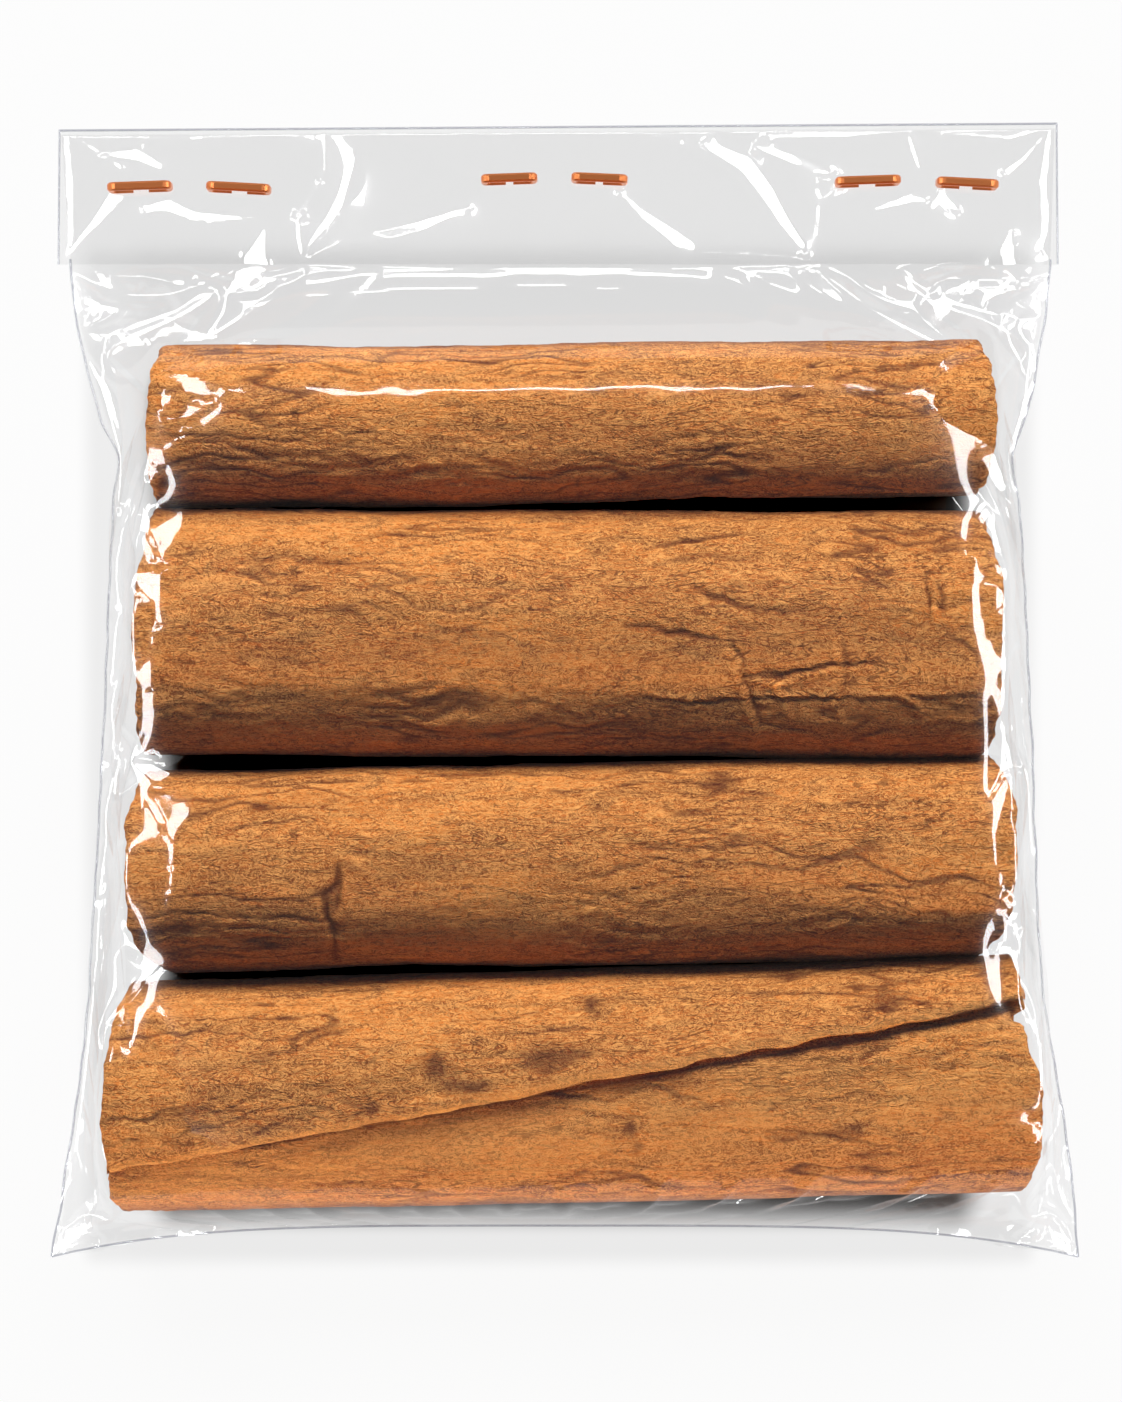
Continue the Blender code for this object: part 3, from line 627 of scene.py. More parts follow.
def push_off_quills(points, margin, rounding):
    """Moves points out of the quills, each taken as an oval bar with rounded ends, by their depth in it."""
    x, y, z = points[..., 0], points[..., 1], points[..., 2]
    for quill in QUILLS:
        a, b = quill.half_width + 0.1, quill.half_height + 0.2
        dy, dz = (y - quill.middle(x)) / a, (z - b - 0.1) / b
        level = np.sqrt(dy * dy + dz * dz) + 1e-9
        slope_y, slope_z = dy / a / level, dz / b / level
        steep = np.sqrt(slope_y * slope_y + slope_z * slope_z) + 1e-9
        centre, half = (quill.left + quill.right) / 2, (quill.right - quill.left) / 2
        from_round = (level - 1) / steep + rounding
        from_end = np.abs(x - centre) - half + rounding
        corner = (from_round > 0) & (from_end > 0)
        reach = np.hypot(from_round, from_end) + 1e-9
        depth = margin + rounding - np.where(corner, reach, np.maximum(from_round, from_end))
        push = np.clip(depth, 0, 2.0)
        round_share = np.where(corner, from_round / reach, from_round > from_end)
        end_share = np.where(corner, from_end / reach, from_round <= from_end)
        x += push * end_share * np.sign(x - centre)
        y += push * round_share * slope_y / steep
        z += push * round_share * slope_z / steep


def hull_table(x):
    """The taut line over the quills' section at x, as Y values and heights."""
    angles = np.radians(np.linspace(0, 180, 61))
    points = []
    for quill in QUILLS:
        points += list(zip(quill.middle(x) + quill.half_width * np.cos(angles),
                           0.65 + quill.half_height * (1 + np.sin(angles))))
    line = []
    for y, z in sorted(points):
        while len(line) > 1:
            (y0, z0), (y1, z1) = line[-2:]
            if (z1 - z0) * (y - y1) > (z - z1) * (y1 - y0):
                break
            line.pop()
        line.append((y, z))
    return tuple(np.array(column) for column in zip(*line))


def lift_to_hull(points, tables, sag):
    """Keeps the front film from sinking between the quills by more than the sag."""
    x, y, z = points[..., 0], points[..., 1], points[..., 2]
    (left_y, left_z), (right_y, right_z) = tables
    share = np.clip((x + 37) / 74, 0, 1)
    least = (1 - share) * np.interp(y, left_y, left_z, 0, 0) + share * np.interp(y, right_y, right_z, 0, 0)
    inward = np.clip((38.2 - np.abs(x)) / 3.0, 0, 1)
    least -= sag + 5.0 * (1 - inward) ** 2
    np.maximum(z, np.where(inward > 0, least, 0), out=z)


def pull_pairs(points, first, second, rest, stiffness, only_apart=False):
    """Moves two slices of points along the lines between them, towards their rest distance."""
    line = points[second] - points[first]
    length = np.sqrt(np.einsum("...k,...k", line, line)) + 1e-9
    strain = (length - rest) / length
    if only_apart:
        strain = np.minimum(strain, 0)
    move = (0.5 * stiffness) * strain[..., None] * line
    points[first] += move
    points[second] -= move


def relax_sheet(points, rest_u, rest_v, fixed, steps, drift, other, tables):
    """Position-based steps: coast, keep every thread's length, resist bending, and stay off quills, floor and back."""
    rows, columns, _ = points.shape
    rest_d = np.hypot((rest_u[:, 1:] + rest_u[:, :-1]) / 2, (rest_v[1:] + rest_v[:-1]) / 2)
    every = slice(None)
    held = points[fixed].copy()
    before = points.copy()
    for _ in range(steps):
        speed = (points - before) * 0.9
        before = points.copy()
        points += speed
        points[..., 2] += drift
        if other is not None:
            np.maximum(points[..., 2], other[..., 2] + 0.06, out=points[..., 2])
        for odd in (0, 1):
            a, b = slice(odd, rows - 1, 2), slice(odd + 1, rows, 2)
            pull_pairs(points, (a, every), (b, every), rest_u[a], 1.0)
            pull_pairs(points, (a, slice(0, columns - 1)), (b, slice(1, columns)), rest_d[a], 0.5)
            pull_pairs(points, (a, slice(1, columns)), (b, slice(0, columns - 1)), rest_d[a], 0.5)
            a, b = slice(odd, columns - 1, 2), slice(odd + 1, columns, 2)
            pull_pairs(points, (every, a), (every, b), rest_v[:, a], 1.0)
        for offset in range(4):
            i = np.arange(offset, rows - 2, 4)
            pull_pairs(points, (i,), (i + 2,), rest_u[i] + rest_u[i + 1], 0.15, True)
            j = np.arange(offset, columns - 2, 4)
            pull_pairs(points, (every, j), (every, j + 2), rest_v[:, j] + rest_v[:, j + 1], 0.15, True)
        push_off_quills(points, 0.25, 1.2)
        if tables is not None:
            lift_to_hull(points, tables, 0.2)
        np.maximum(points[..., 2], 0.12, out=points[..., 2])
        np.clip(points[..., 0], points[:1, :, 0], points[-1:, :, 0], out=points[..., 0])
        points[fixed] = held
    return points


def pouch_start(rows, columns, slack_across, slack_along):
    """Front and back sheets before they are draped, and the rest lengths of their threads across and along."""
    s = np.linspace(0, 1, rows)[:, None]
    y = np.linspace(BOTTOM_Y, NECK_Y, columns)[None]
    left, right = smooth_curve(LEFT_SEAM, y), smooth_curve(RIGHT_SEAM, y)
    across = 2 * s - 1
    x = left + s * (right - left)
    near_bottom = np.clip((BOTTOM_Y + BOTTOM_RISE_DEPTH - y) / BOTTOM_RISE_DEPTH, 0, 1) ** 2
    y_bent = y + BOTTOM_RISE * (1 - across ** 4) * near_bottom
    seam = smooth_curve(SEAM_HEIGHTS, y) + 0 * s

    def fullness(distance, power):
        return 1 - (1 - np.clip(distance, 0, 1)) ** power

    full = fullness(np.minimum(x - left, right - x) / 3.0, 2)
    ends = np.minimum((y_bent - BOTTOM_Y - BOTTOM_RISE) / 3.0, (NECK_Y - y_bent) / 11.0)
    full = full * fullness(ends, 1.6)
    crest = 16.3 - 3.0 * np.clip((y_bent - 12) / 12, 0, 1)
    front = np.stack([x, y_bent, seam + (crest - seam) * full], -1)
    back = np.stack([x, y_bent, seam + (0.2 - seam) * full], -1)

    middle = y[0]
    stick_y = [float(q.middle(0.0)) for q in QUILLS][::-1]
    shoulder_left = smooth_curve([*zip(stick_y, [q.left for q in QUILLS][::-1])], middle) + 1
    shoulder_right = smooth_curve([*zip(stick_y, [q.right for q in QUILLS][::-1])], middle) - 1
    rise = (15.3 - 3.0 * np.clip((middle - 12) / 12, 0, 1) - seam[0])
    rise = rise * np.clip(np.minimum((middle - BOTTOM_Y - BOTTOM_RISE) / 3.0, (NECK_Y - middle) / 11.0), 0, 1)
    width = np.hypot(shoulder_left - left[0], rise) + np.hypot(right[0] - shoulder_right, rise)
    width = (width + shoulder_right - shoulder_left) * (1 + slack_across)
    rest_u = np.repeat((width / (rows - 1))[None], rows - 1, 0)
    inward = np.clip((1 - np.abs(across)) / 0.12, 0, 1)
    length = (88.2 + 4.1 * (1 - (1 - inward) ** 2)) * (1 + slack_along)
    rest_v = np.repeat(length / (columns - 1), columns - 1, 1)
    return front, back, rest_u, rest_v


def drape_pouch(sizes):
    """Front and back sheets draped over the quills, from a coarse grid to a fine one."""
    tables = (hull_table(-37.0), hull_table(37.0))
    front = back = None
    levels = ((46, 500, 0.8), (91, 350, 0.3), (sizes.drape_threads, 150, 0.12))
    for level, (count, steps, crumple) in enumerate(levels):
        edge_front, edge_back, rest_u, rest_v = pouch_start(count, count, sizes.slack_across, sizes.slack_along)
        fixed = np.zeros((count, count), bool)
        fixed[[0, -1]] = fixed[:, [0, -1]] = True
        grid_u, grid_v = np.meshgrid(np.arange(count), np.arange(count), indexing="ij")
        sheets = []
        for number, (sheet, edge) in enumerate(((front, edge_front), (back, edge_back))):
            sheet = edge.copy() if sheet is None else resample(resample(sheet, count, 0), count, 1)
            noise = gradient_noise(grid_u / 3.7, grid_v / 4.3, sizes.crumple_seed + 10 * level + number)
            sheet[..., 2] += np.where(fixed, 0, crumple * noise)
            sheet[fixed] = edge[fixed]
            sheets.append(sheet)
        front, back = sheets
        back = relax_sheet(back, rest_u, rest_v, fixed, steps // 2, 0.001, None, None)
        front = relax_sheet(front, rest_u, rest_v, fixed, steps, -0.001, back, tables)
    calm(front, 24)
    return front, back


def calm(points, rounds):
    """Evens out the front sheet over the quills: each round moves its points halfway to their neighbours' mean."""
    x, y, z = points[..., 0], points[..., 1], points[..., 2]
    share = 0.5 * ease((37.5 - np.abs(x)) / 2) * ease((y + 47) / 3) * ease((31 - y) / 3)
    for _ in range(rounds):
        mean = (z[2:, 1:-1] + z[:-2, 1:-1] + z[1:-1, 2:] + z[1:-1, :-2]) / 4
        z[1:-1, 1:-1] += share[1:-1, 1:-1] * (mean - z[1:-1, 1:-1])


def facets(x, y, size, seed):
    """Crumpled film: random heights on a bent triangular lattice, joined by flat triangles with sharp creases."""
    u = x / size + 0.6 * gradient_noise(x / size / 1.7, y / size / 1.7, seed)
    v = y / size + 0.6 * gradient_noise(x / size / 1.7, y / size / 1.7, seed + 1)
    u = u + v * 0.5
    iu, iv = np.floor(u).astype(int), np.floor(v).astype(int)
    fu, fv = u - iu, v - iv
    heights = np.random.default_rng(seed + 2).uniform(-1, 1, (64, 64))
    at = lambda du, dv: heights[(iu + du) % 64, (iv + dv) % 64]
    low = at(0, 0) + fu * (at(1, 0) - at(0, 0)) + fv * (at(0, 1) - at(0, 0))
    high = at(1, 1) + (1 - fu) * (at(0, 1) - at(1, 1)) + (1 - fv) * (at(1, 0) - at(1, 1))
    return np.where(fu + fv < 1, low, high)


def undulation(x, y):
    """Faint waves in mm of the front film where it lies on the first stick, which break up its long reflection."""
    there = np.clip(1 - np.abs(y - 26) / 4, 0, 1) * np.clip((34 - np.abs(x)) / 3, 0, 1)
    return there * (0.08 * gradient_noise(x / 7, y / 2.4, 81) + 0.03 * gradient_noise(x / 2.6, y / 1.4, 82))


def build_film(sizes, material):
    """The pouch's front and back sheets, each with its neck carried on up to the fold."""
    front, back = drape_pouch(sizes)
    pieces = []
    for name, sheet, side, counts in (("film_front", front, 1, (280, 300, 34)), ("film_back", back, -1, (220, 230, 26))):
        across, along, neck = counts
        even = np.linspace(0, 1, across)
        at = 0.3 * even + 0.7 * (1 - np.cos(math.pi * even)) / 2
        sheet = resample(resample(sheet, None, 0, at), along, 1)
        up = np.linspace(0, 1, neck + 1)[1:]
        y0 = sheet[:, -1, 1][:, None]
        fold_y = FOLD_Y + FOLD_TILT * (2 * at - 1)[:, None]
        y = y0 + up * (fold_y - y0)
        left, right = smooth_curve(LEFT_SEAM, y), smooth_curve(RIGHT_SEAM, y)
        x = left + at[:, None] * (right - left)
        inward = np.clip(np.minimum(x - left, right - x) / 3, 0, 1)
        part = ease(up / 0.3) * ease((1 - up) / 0.2)
        z = smooth_curve(SEAM_HEIGHTS, y)
        z = z + side * part * inward * (0.16 + 0.1 * facets(x, y, 9, 70 + side))
        joined = np.concatenate([sheet, np.stack([x, y, z], -1)], axis=1)
        if side > 0:
            joined[..., 2] += undulation(joined[..., 0], joined[..., 1])
            held = 0.015 + 3 * (joined[..., 1] > 36)
            held[[0, -1]] = held[:, [0]] = 3
            joined[..., 2] += np.maximum(crease_heights(joined, FRONT_CREASES, held, 0.7 * (held < 1)), -0.45)
        index = np.arange(joined.shape[0] * joined.shape[1]).reshape(joined.shape[:2])
        quads = grid_faces(index, closed=False)
        if side < 0:
            quads = quads[:, ::-1]
        piece = new_piece(name, joined, quads)
        pieces.append(finish_film(piece, material))
    return pieces


def card_place(name):
    """Where a card's middle hangs: so many degrees round and up from the bag."""
    azimuth, elevation = (math.radians(v) for v in CARDS[name][:2])
    level = math.cos(elevation)
    return SUBJECT + CARD_DISTANCE * Vector((math.cos(azimuth) * level, math.sin(azimuth) * level,
                                             math.sin(elevation)))


def slope_to_card(points, card):
    """Rise along X and along Y of a sheet at points in mm that mirrors the card's middle to the eye."""
    halfway = 0
    for end in (EYE, card_place(card)):
        line = np.array(end) - points * MM
        halfway = halfway + line / np.linalg.norm(line, axis=-1, keepdims=True)
    return -halfway[..., :2] / halfway[..., 2:]


def crease_heights(points, creases, level, target):
    """Heights in mm that make a sheet lean as each crease says, and change it as little as can be elsewhere.

    They are the least sum of weight times (rise - wanted rise) squared over neighbouring points, and of level times
    (height - target) squared, found by conjugate gradients. A crease's places are as the eye sees them.
    """
    eye = np.array(EYE) / MM
    away_from_eye = (eye[2] - SEEN_HEIGHT) / (eye[2] - points[..., 2])
    seen_x, seen_y = (eye[axis] + (points[..., axis] - eye[axis]) * away_from_eye for axis in (0, 1))
    wanted, inside = np.zeros(points.shape[:2] + (2,)), np.zeros(points.shape[:2])
    for card, route in creases:
        away, along = distance_to_stroke(seen_x, seen_y, [point[:2] for point in route])
        width = np.interp(along, np.linspace(0, 1, len(route)), [point[2] for point in route])
        here = away < width / 2
        wanted[here] = slope_to_card(points[here], card)
        inside[here] = 1

    def tie(before, after):
        run = points[after] - points[before]
        count = inside[after] + inside[before]
        slope = (wanted[after] + wanted[before]) / np.maximum(count, 1)[..., None]
        rise = np.where(count > 0, np.sum(slope * run[..., :2], axis=-1) - run[..., 2], 0)
        return np.choose(count.astype(int), (0.4, 8.0, 40.0)) / np.sum(run * run, axis=-1), rise

    every = slice(None)
    weight_u, rise_u = tie(np.s_[:-1], np.s_[1:])
    weight_v, rise_v = tie((every, np.s_[:-1]), (every, np.s_[1:]))

    def spread(flow_u, flow_v, sign):
        total = np.zeros(points.shape[:2])
        total[1:] += flow_u
        total[:-1] += sign * flow_u
        total[:, 1:] += flow_v
        total[:, :-1] += sign * flow_v
        return total

    height = np.zeros(points.shape[:2])
    rest = spread(weight_u * rise_u, weight_v * rise_v, -1) + level * target
    scale = 1 / (level + spread(weight_u, weight_v, 1))
    guide = scale * rest
    strength = np.sum(rest * guide)
    for _ in range(400):
        flows = weight_u * np.diff(guide, axis=0), weight_v * np.diff(guide, axis=1)
        pulled = spread(*flows, -1) + level * guide
        step = strength / np.sum(guide * pulled)
        height += step * guide
        rest -= step * pulled
        eased = scale * rest
        strength, before = np.sum(rest * eased), strength
        guide = eased + strength / before * guide
    return height


def build_flap(material):
    """The folded-over mouth: an outer and an under sheet of crumpled film, joined all round as one flat closed ring."""
    across, down = 520, 80
    s = np.linspace(0, 1, across)[:, None]
    t = np.linspace(0, 1, down)[None]
    x = FLAP_SIDES[0] + s * (FLAP_SIDES[1] - FLAP_SIDES[0]) + 0 * t
    fold_y = FOLD_Y + FOLD_TILT * (2 * s - 1)
    y = fold_y + t * (NECK_Y - fold_y)
    base = smooth_curve(SEAM_HEIGHTS, y)
    held = 0.02 + 3.0 * (t < 0.02) + 0 * s
    for spot_x, spot_y in STAPLE_SPOTS:
        held += 2.0 * (np.hypot((x - spot_x) / 2.6, (y - spot_y) / 0.7) < 1)
    relief = crease_heights(np.stack([x, y, base + FLAP_RISE], -1), FLAP_CREASES, held, 0)
    relief = np.maximum(relief + 0.12 * facets(x, y, 9, 5), -0.75)
    outer = base + FLAP_RISE + relief
    under = np.minimum(base + 0.62 + 0.3 * relief + 0.1 * facets(x, y, 8, 31), outer - 0.12)
    under = np.maximum(under, base + 0.2 * t)
    start = ease(t / 0.05)
    top, bottom = base + (outer - base) * start, base + (under - base) * start
    rings = np.concatenate([np.stack([x, y, top], -1), np.stack([x, y, bottom], -1)[:, ::-1]], axis=1)
    index = np.arange(rings.shape[0] * rings.shape[1]).reshape(rings.shape[:2])
    quads = grid_faces(index, closed=True)
    caps = []
    for number, row in enumerate((index[0], index[-1])):
        a, b = row[:down], row[down:][::-1]
        strip = np.stack([a[:-1], a[1:], b[1:], b[:-1]], -1)
        caps.append(strip if number else strip[:, ::-1])
    piece = new_piece("film_flap", rings, np.concatenate([quads[:, ::-1], *caps]), smooth_angle=60)
    return finish_film(piece, material)


def tube(route, radius, sides=8):
    """Points and faces of a thin round bead along a route of points in mm, with a flat cap at each end."""
    route = np.asarray(route, float)
    along = np.gradient(route, axis=0)
    along /= np.linalg.norm(along, axis=1, keepdims=True)
    across = np.cross(along, (0, 0, 1))
    across /= np.linalg.norm(across, axis=1, keepdims=True)
    upward = np.cross(across, along)
    angle = np.linspace(0, 2 * math.pi, sides, endpoint=False)[None, :, None]
    points = route[:, None] + radius * (np.cos(angle) * across[:, None] + np.sin(angle) * upward[:, None])
    index = np.arange(points.shape[0] * sides).reshape(-1, sides)
    return points.reshape(-1, 3), grid_faces(index, closed=True), [index[0].tolist(), index[-1, ::-1].tolist()]


def build_seams(material):
    """The welded edges: beads of film along the bag's sides and bottom and round the flap."""
    beads = []
    for seam in (LEFT_SEAM, RIGHT_SEAM):
        y = np.linspace(BOTTOM_Y, NECK_Y + 0.5, 200)
        wave = 0.12 * gradient_noise(y / 3.1, 0 * y + seam[0][1], 61)
        beads.append((np.stack([smooth_curve(seam, y) + wave, y, smooth_curve(SEAM_HEIGHTS, y)], -1), 0.11))
    across = np.linspace(-1, 1, 200)
    x = across * RIGHT_SEAM[0][1]
    bottom = BOTTOM_Y + BOTTOM_RISE * (1 - across ** 4)
    beads.append((np.stack([x, bottom, 0 * x + SEAM_HEIGHTS[0][1]], -1), 0.10))
    left, right = FLAP_SIDES
    side_y = np.linspace(FOLD_Y, NECK_Y, 60)
    side_z = smooth_curve(SEAM_HEIGHTS, side_y) + 0.8
    for side, tilt in ((left, -FOLD_TILT), (right, FOLD_TILT)):
        y = side_y + tilt * (side_y - NECK_Y) / (FOLD_Y - NECK_Y)
        beads.append((np.stack([0 * y + side, y, side_z], -1), 0.09))
    x = np.linspace(left, right, 200)
    share = (x - left) / (right - left)
    beads.append((np.stack([x, FOLD_Y + FOLD_TILT * (2 * share - 1), 0 * x + smooth_curve(SEAM_HEIGHTS, FOLD_Y)],
                           -1), 0.11))
    points, quads, caps, used = [], [], [], 0
    for route, radius in beads:
        bead_points, bead_quads, bead_caps = tube(route, radius)
        points.append(bead_points)
        quads.append(bead_quads + used)
        caps += [[corner + used for corner in cap] for cap in bead_caps]
        used += len(bead_points)
    piece = new_piece("film_seams", np.concatenate(points), np.concatenate(quads), caps, smooth_angle=60)
    return finish_film(piece, material)


# -------------------------------------------------------------------------------------------------------- materials


def make_film_material(name, tint):
    """Cast cellophane: perfectly smooth, so it shows only as mirror glints and a slight grey in several layers.

    A film mirrors about a twentieth of the light that meets it squarely, and most of it at a grazing angle.
    """
    material, tree, output = new_material(name)
    slant = add_node(tree, "ShaderNodeLayerWeight", Blend=0.5).outputs["Facing"]
    steep = add_node(tree, "ShaderNodeMath", {"operation": "POWER"}, _0=slant, _1=5.0)
    both = add_node(tree, "ShaderNodeMath", {"operation": "MULTIPLY_ADD"}, _0=steep.outputs[0], _1=0.45, _2=0.052)
    clear = add_node(tree, "ShaderNodeBsdfTransparent", Color=tint)
    gloss = add_node(tree, "ShaderNodeBsdfGlossy", Color=(1, 1, 1, 1), Roughness=0.055)
    haze = add_node(tree, "ShaderNodeBsdfGlossy", Color=(1, 1, 1, 1), Roughness=0.24)
    shine = add_node(tree, "ShaderNodeMixShader", _0=0.25, _1=gloss.outputs[0], _2=haze.outputs[0])
    film = add_node(tree, "ShaderNodeMixShader", _0=both.outputs[0], _1=clear.outputs[0], _2=shine.outputs[0])
    tree.links.new(film.outputs[0], output.inputs["Surface"])
    return material


def make_bark_material(colours):
    """Dried cassia bark, scraped: matte, with short curled fibres along the quill and darker veins and pits.

    Its real fibres are about 0.05 mm wide; they are drawn three times as wide, so that they show.
    """
    material, tree, output = new_material("cassia_bark")
    grain = add_node(tree, "ShaderNodeUVMap", {"uv_map": "bark_grain"})
    stain = add_node(tree, "ShaderNodeAttribute", {"attribute_name": "bark_stain_and_shade"}).outputs["Fac"]
    lift = add_node(tree, "ShaderNodeAttribute", {"attribute_name": "bark_lift"}).outputs["Fac"]

    def number(operation, *values, **settings):
        links = {f"_{place}": value for place, value in enumerate(values)}
        return add_node(tree, "ShaderNodeMath", {"operation": operation, **settings}, **links).outputs[0]

    def noise(cell_u, cell_v, detail, roughness, distortion=0.0):
        """Noise with cells of so many mm along and around the quill; the grain map counts 100 mm as 1."""
        mapping = add_node(tree, "ShaderNodeMapping", Vector=grain.outputs[0],
                           Scale=(100 / cell_u, 100 / cell_v, 1))
        return add_node(tree, "ShaderNodeTexNoise", {"noise_dimensions": "2D"}, Vector=mapping.outputs[0], Scale=1.0,
                        Detail=detail, Roughness=roughness, Distortion=distortion).outputs["Fac"]

    def between(value, low, high):
        """0 below low and 1 above high, or the other way round where low is the larger."""
        return add_node(tree, "ShaderNodeMapRange", {"interpolation_type": "SMOOTHSTEP"}, Value=value,
                        From_Min=low, From_Max=high).outputs[0]

    def mix(kind, factor, first, second):
        return add_node(tree, "ShaderNodeMix", {"data_type": "RGBA", "blend_type": kind, "clamp_factor": True},
                        _0=factor, _6=first, _7=second).outputs[2]

    def share(value, amount):
        return number("MULTIPLY", value, amount)

    def ridges(value):
        """1 where the noise crosses its middle, falling off to both sides: thin curled lines."""
        return number("SUBTRACT", 1.0, number("ABSOLUTE", number("MULTIPLY_ADD", value, 2.0, -1.0)))

    broad = noise(24, 7, 3, 0.55, 0.6)
    bands = noise(30, 1.8, 3, 0.6, 0.5)
    bruises = noise(7, 2.4, 4, 0.68, 1.0)
    strands = noise(2.2, 0.42, 3, 0.6, 1.6)
    curls = ridges(noise(1.0, 0.55, 2, 0.6, 1.9))
    loops = ridges(noise(0.62, 0.4, 1, 0.5, 2.6))
    cracks = ridges(noise(9, 1.6, 3, 0.62, 1.2))
    base = mix("MIX", between(broad, 0.3, 0.7), colours.deep, colours.clean)
    base = mix("MIX", share(between(bands, 0.52, 0.36), 0.65), base, colours.band)
    base = mix("MIX", share(between(bruises, 0.48, 0.34), 0.75), base, colours.bruise)
    base = mix("MIX", share(between(strands, 0.52, 0.36), 0.6), base, colours.groove)
    base = mix("MIX", share(between(strands, 0.55, 0.72), 0.5), base, colours.fibre)
    base = mix("MIX", share(between(curls, 0.82, 0.97), 0.75), base, colours.fibre)
    base = mix("MIX", share(between(loops, 0.82, 0.97), 0.6), base, colours.fibre)
    base = mix("MIX", share(between(noise(0.8, 0.5, 2, 0.5, 1.2), 0.38, 0.28), 0.45), base, colours.pit)
    base = mix("MIX", share(number("MULTIPLY", between(cracks, 0.955, 0.99), between(broad, 0.6, 0.4)), 0.7),
               base, colours.pit)
    # painted shade: the bark is darker where its relief sinks below the plain roll, in cracks and dips
    base = mix("MIX", share(between(lift, -0.02, -0.3), 0.5), base, colours.groove)
    base = mix("MIX", share(between(stain, 0.0, -0.6), 0.45), base, colours.fibre)
    # the stain colour paints real stains and also the painted shade on the quills' long sides and under the free edge
    blot = number("MULTIPLY", between(stain, 0.05, 0.95), number("MULTIPLY_ADD", bruises, -1.2, 1.45))
    base = mix("MIX", share(blot, 0.85), base, colours.stain)
    relief = number("ADD", share(strands, 0.5), share(curls, 0.55))
    bump = add_node(tree, "ShaderNodeBump", Strength=1.0, Distance=0.00026, Height=relief)
    shader = add_node(tree, "ShaderNodeBsdfPrincipled", Base_Color=base, Roughness=0.8, Normal=bump.outputs[0])
    shader.inputs["Specular IOR Level"].default_value = 0.25
    tree.links.new(shader.outputs[0], output.inputs["Surface"])
    return material


def make_copper_material(colour):
    """Bright drawn copper wire: a clean orange metal with faint draw lines along it."""
    material, tree, output = new_material("drawn_copper_wire")
    place = add_node(tree, "ShaderNodeTexCoord")
    lines = add_node(tree, "ShaderNodeMapping", Vector=place.outputs["Object"], Scale=(300, 9000, 9000))
    scratch = add_node(tree, "ShaderNodeTexNoise", Vector=lines.outputs[0], Scale=1.0, Detail=2)
    bump = add_node(tree, "ShaderNodeBump", Strength=0.25, Distance=0.00002, Height=scratch.outputs["Fac"])
    shader = add_node(tree, "ShaderNodeBsdfPrincipled", Base_Color=colour, Metallic=1.0, Roughness=0.36,
                      Normal=bump.outputs[0])
    tree.links.new(shader.outputs[0], output.inputs["Surface"])
    return material


def make_floor_material():
    """White opal acrylic, lit a little from below so that it glows; the bag's shadow on it is painted into that glow.
    """
    material, tree, output = new_material("opal_acrylic_table")
    place = add_node(tree, "ShaderNodeTexCoord").outputs["Object"]

    def under_box(low, high, soft):
        """1 under a box of the floor, in metres, fading to 0 over a soft edge outside it."""
        middle = [(a + b) / 2 for a, b in zip(low, high)]
        half = [(b - a) / 2 for a, b in zip(low, high)]
        offset = add_node(tree, "ShaderNodeVectorMath", {"operation": "SUBTRACT"}, _0=place, _1=(*middle, 0))
        reach = add_node(tree, "ShaderNodeVectorMath", {"operation": "ABSOLUTE"}, _0=offset.outputs[0])
        over = add_node(tree, "ShaderNodeVectorMath", {"operation": "SUBTRACT"}, _0=reach.outputs[0], _1=(*half, 0))
        outside = add_node(tree, "ShaderNodeVectorMath", {"operation": "MAXIMUM"}, _0=over.outputs[0], _1=(0, 0, 0))
        away = add_node(tree, "ShaderNodeVectorMath", {"operation": "LENGTH"}, _0=outside.outputs[0]).outputs["Value"]
        return add_node(tree, "ShaderNodeMapRange", {"interpolation_type": "SMOOTHSTEP"}, Value=away,
                        From_Min=0.0, From_Max=soft, To_Min=1.0, To_Max=0.0).outputs[0]

    # painted shadow: each box dims the floor's glow under and around the bag
    dark = 0.0
    for low, high, soft, depth in PAINTED_FLOOR_SHADOWS:
        shade = under_box(low, high, soft)
        dark = add_node(tree, "ShaderNodeMath", {"operation": "MULTIPLY_ADD"}, _0=shade, _1=depth, _2=dark).outputs[0]
    glow = add_node(tree, "ShaderNodeMath", {"operation": "MULTIPLY_ADD"}, _0=dark, _1=-FLOOR_GLOW, _2=FLOOR_GLOW)
    shader = add_node(tree, "ShaderNodeBsdfPrincipled", Base_Color=linear("3A3A3A"), Roughness=0.9,
                      Emission_Strength=glow.outputs[0])
    shader.inputs["Specular IOR Level"].default_value = 0.0
    shader.inputs["Emission Color"].default_value = (1, 1, 1, 1)
    tree.links.new(shader.outputs[0], output.inputs["Surface"])
    return material


# ------------------------------------------------------------------------------------------------------- the stage


def add_area_light(name, place, size, power, colour=(1, 1, 1)):
    """A rectangular light at a place, facing the bag."""
    light = bpy.data.lights.new(name, "AREA")
    light.shape = "RECTANGLE"
    light.size, light.size_y = size
    light.energy = power
    light.color = colour
    lamp = bpy.data.objects.new(name, light)
    bpy.context.scene.collection.objects.link(lamp)
    lamp.location = place
    lamp.rotation_euler = (SUBJECT - lamp.location).to_track_quat("-Z", "Y").to_euler()
    return lamp


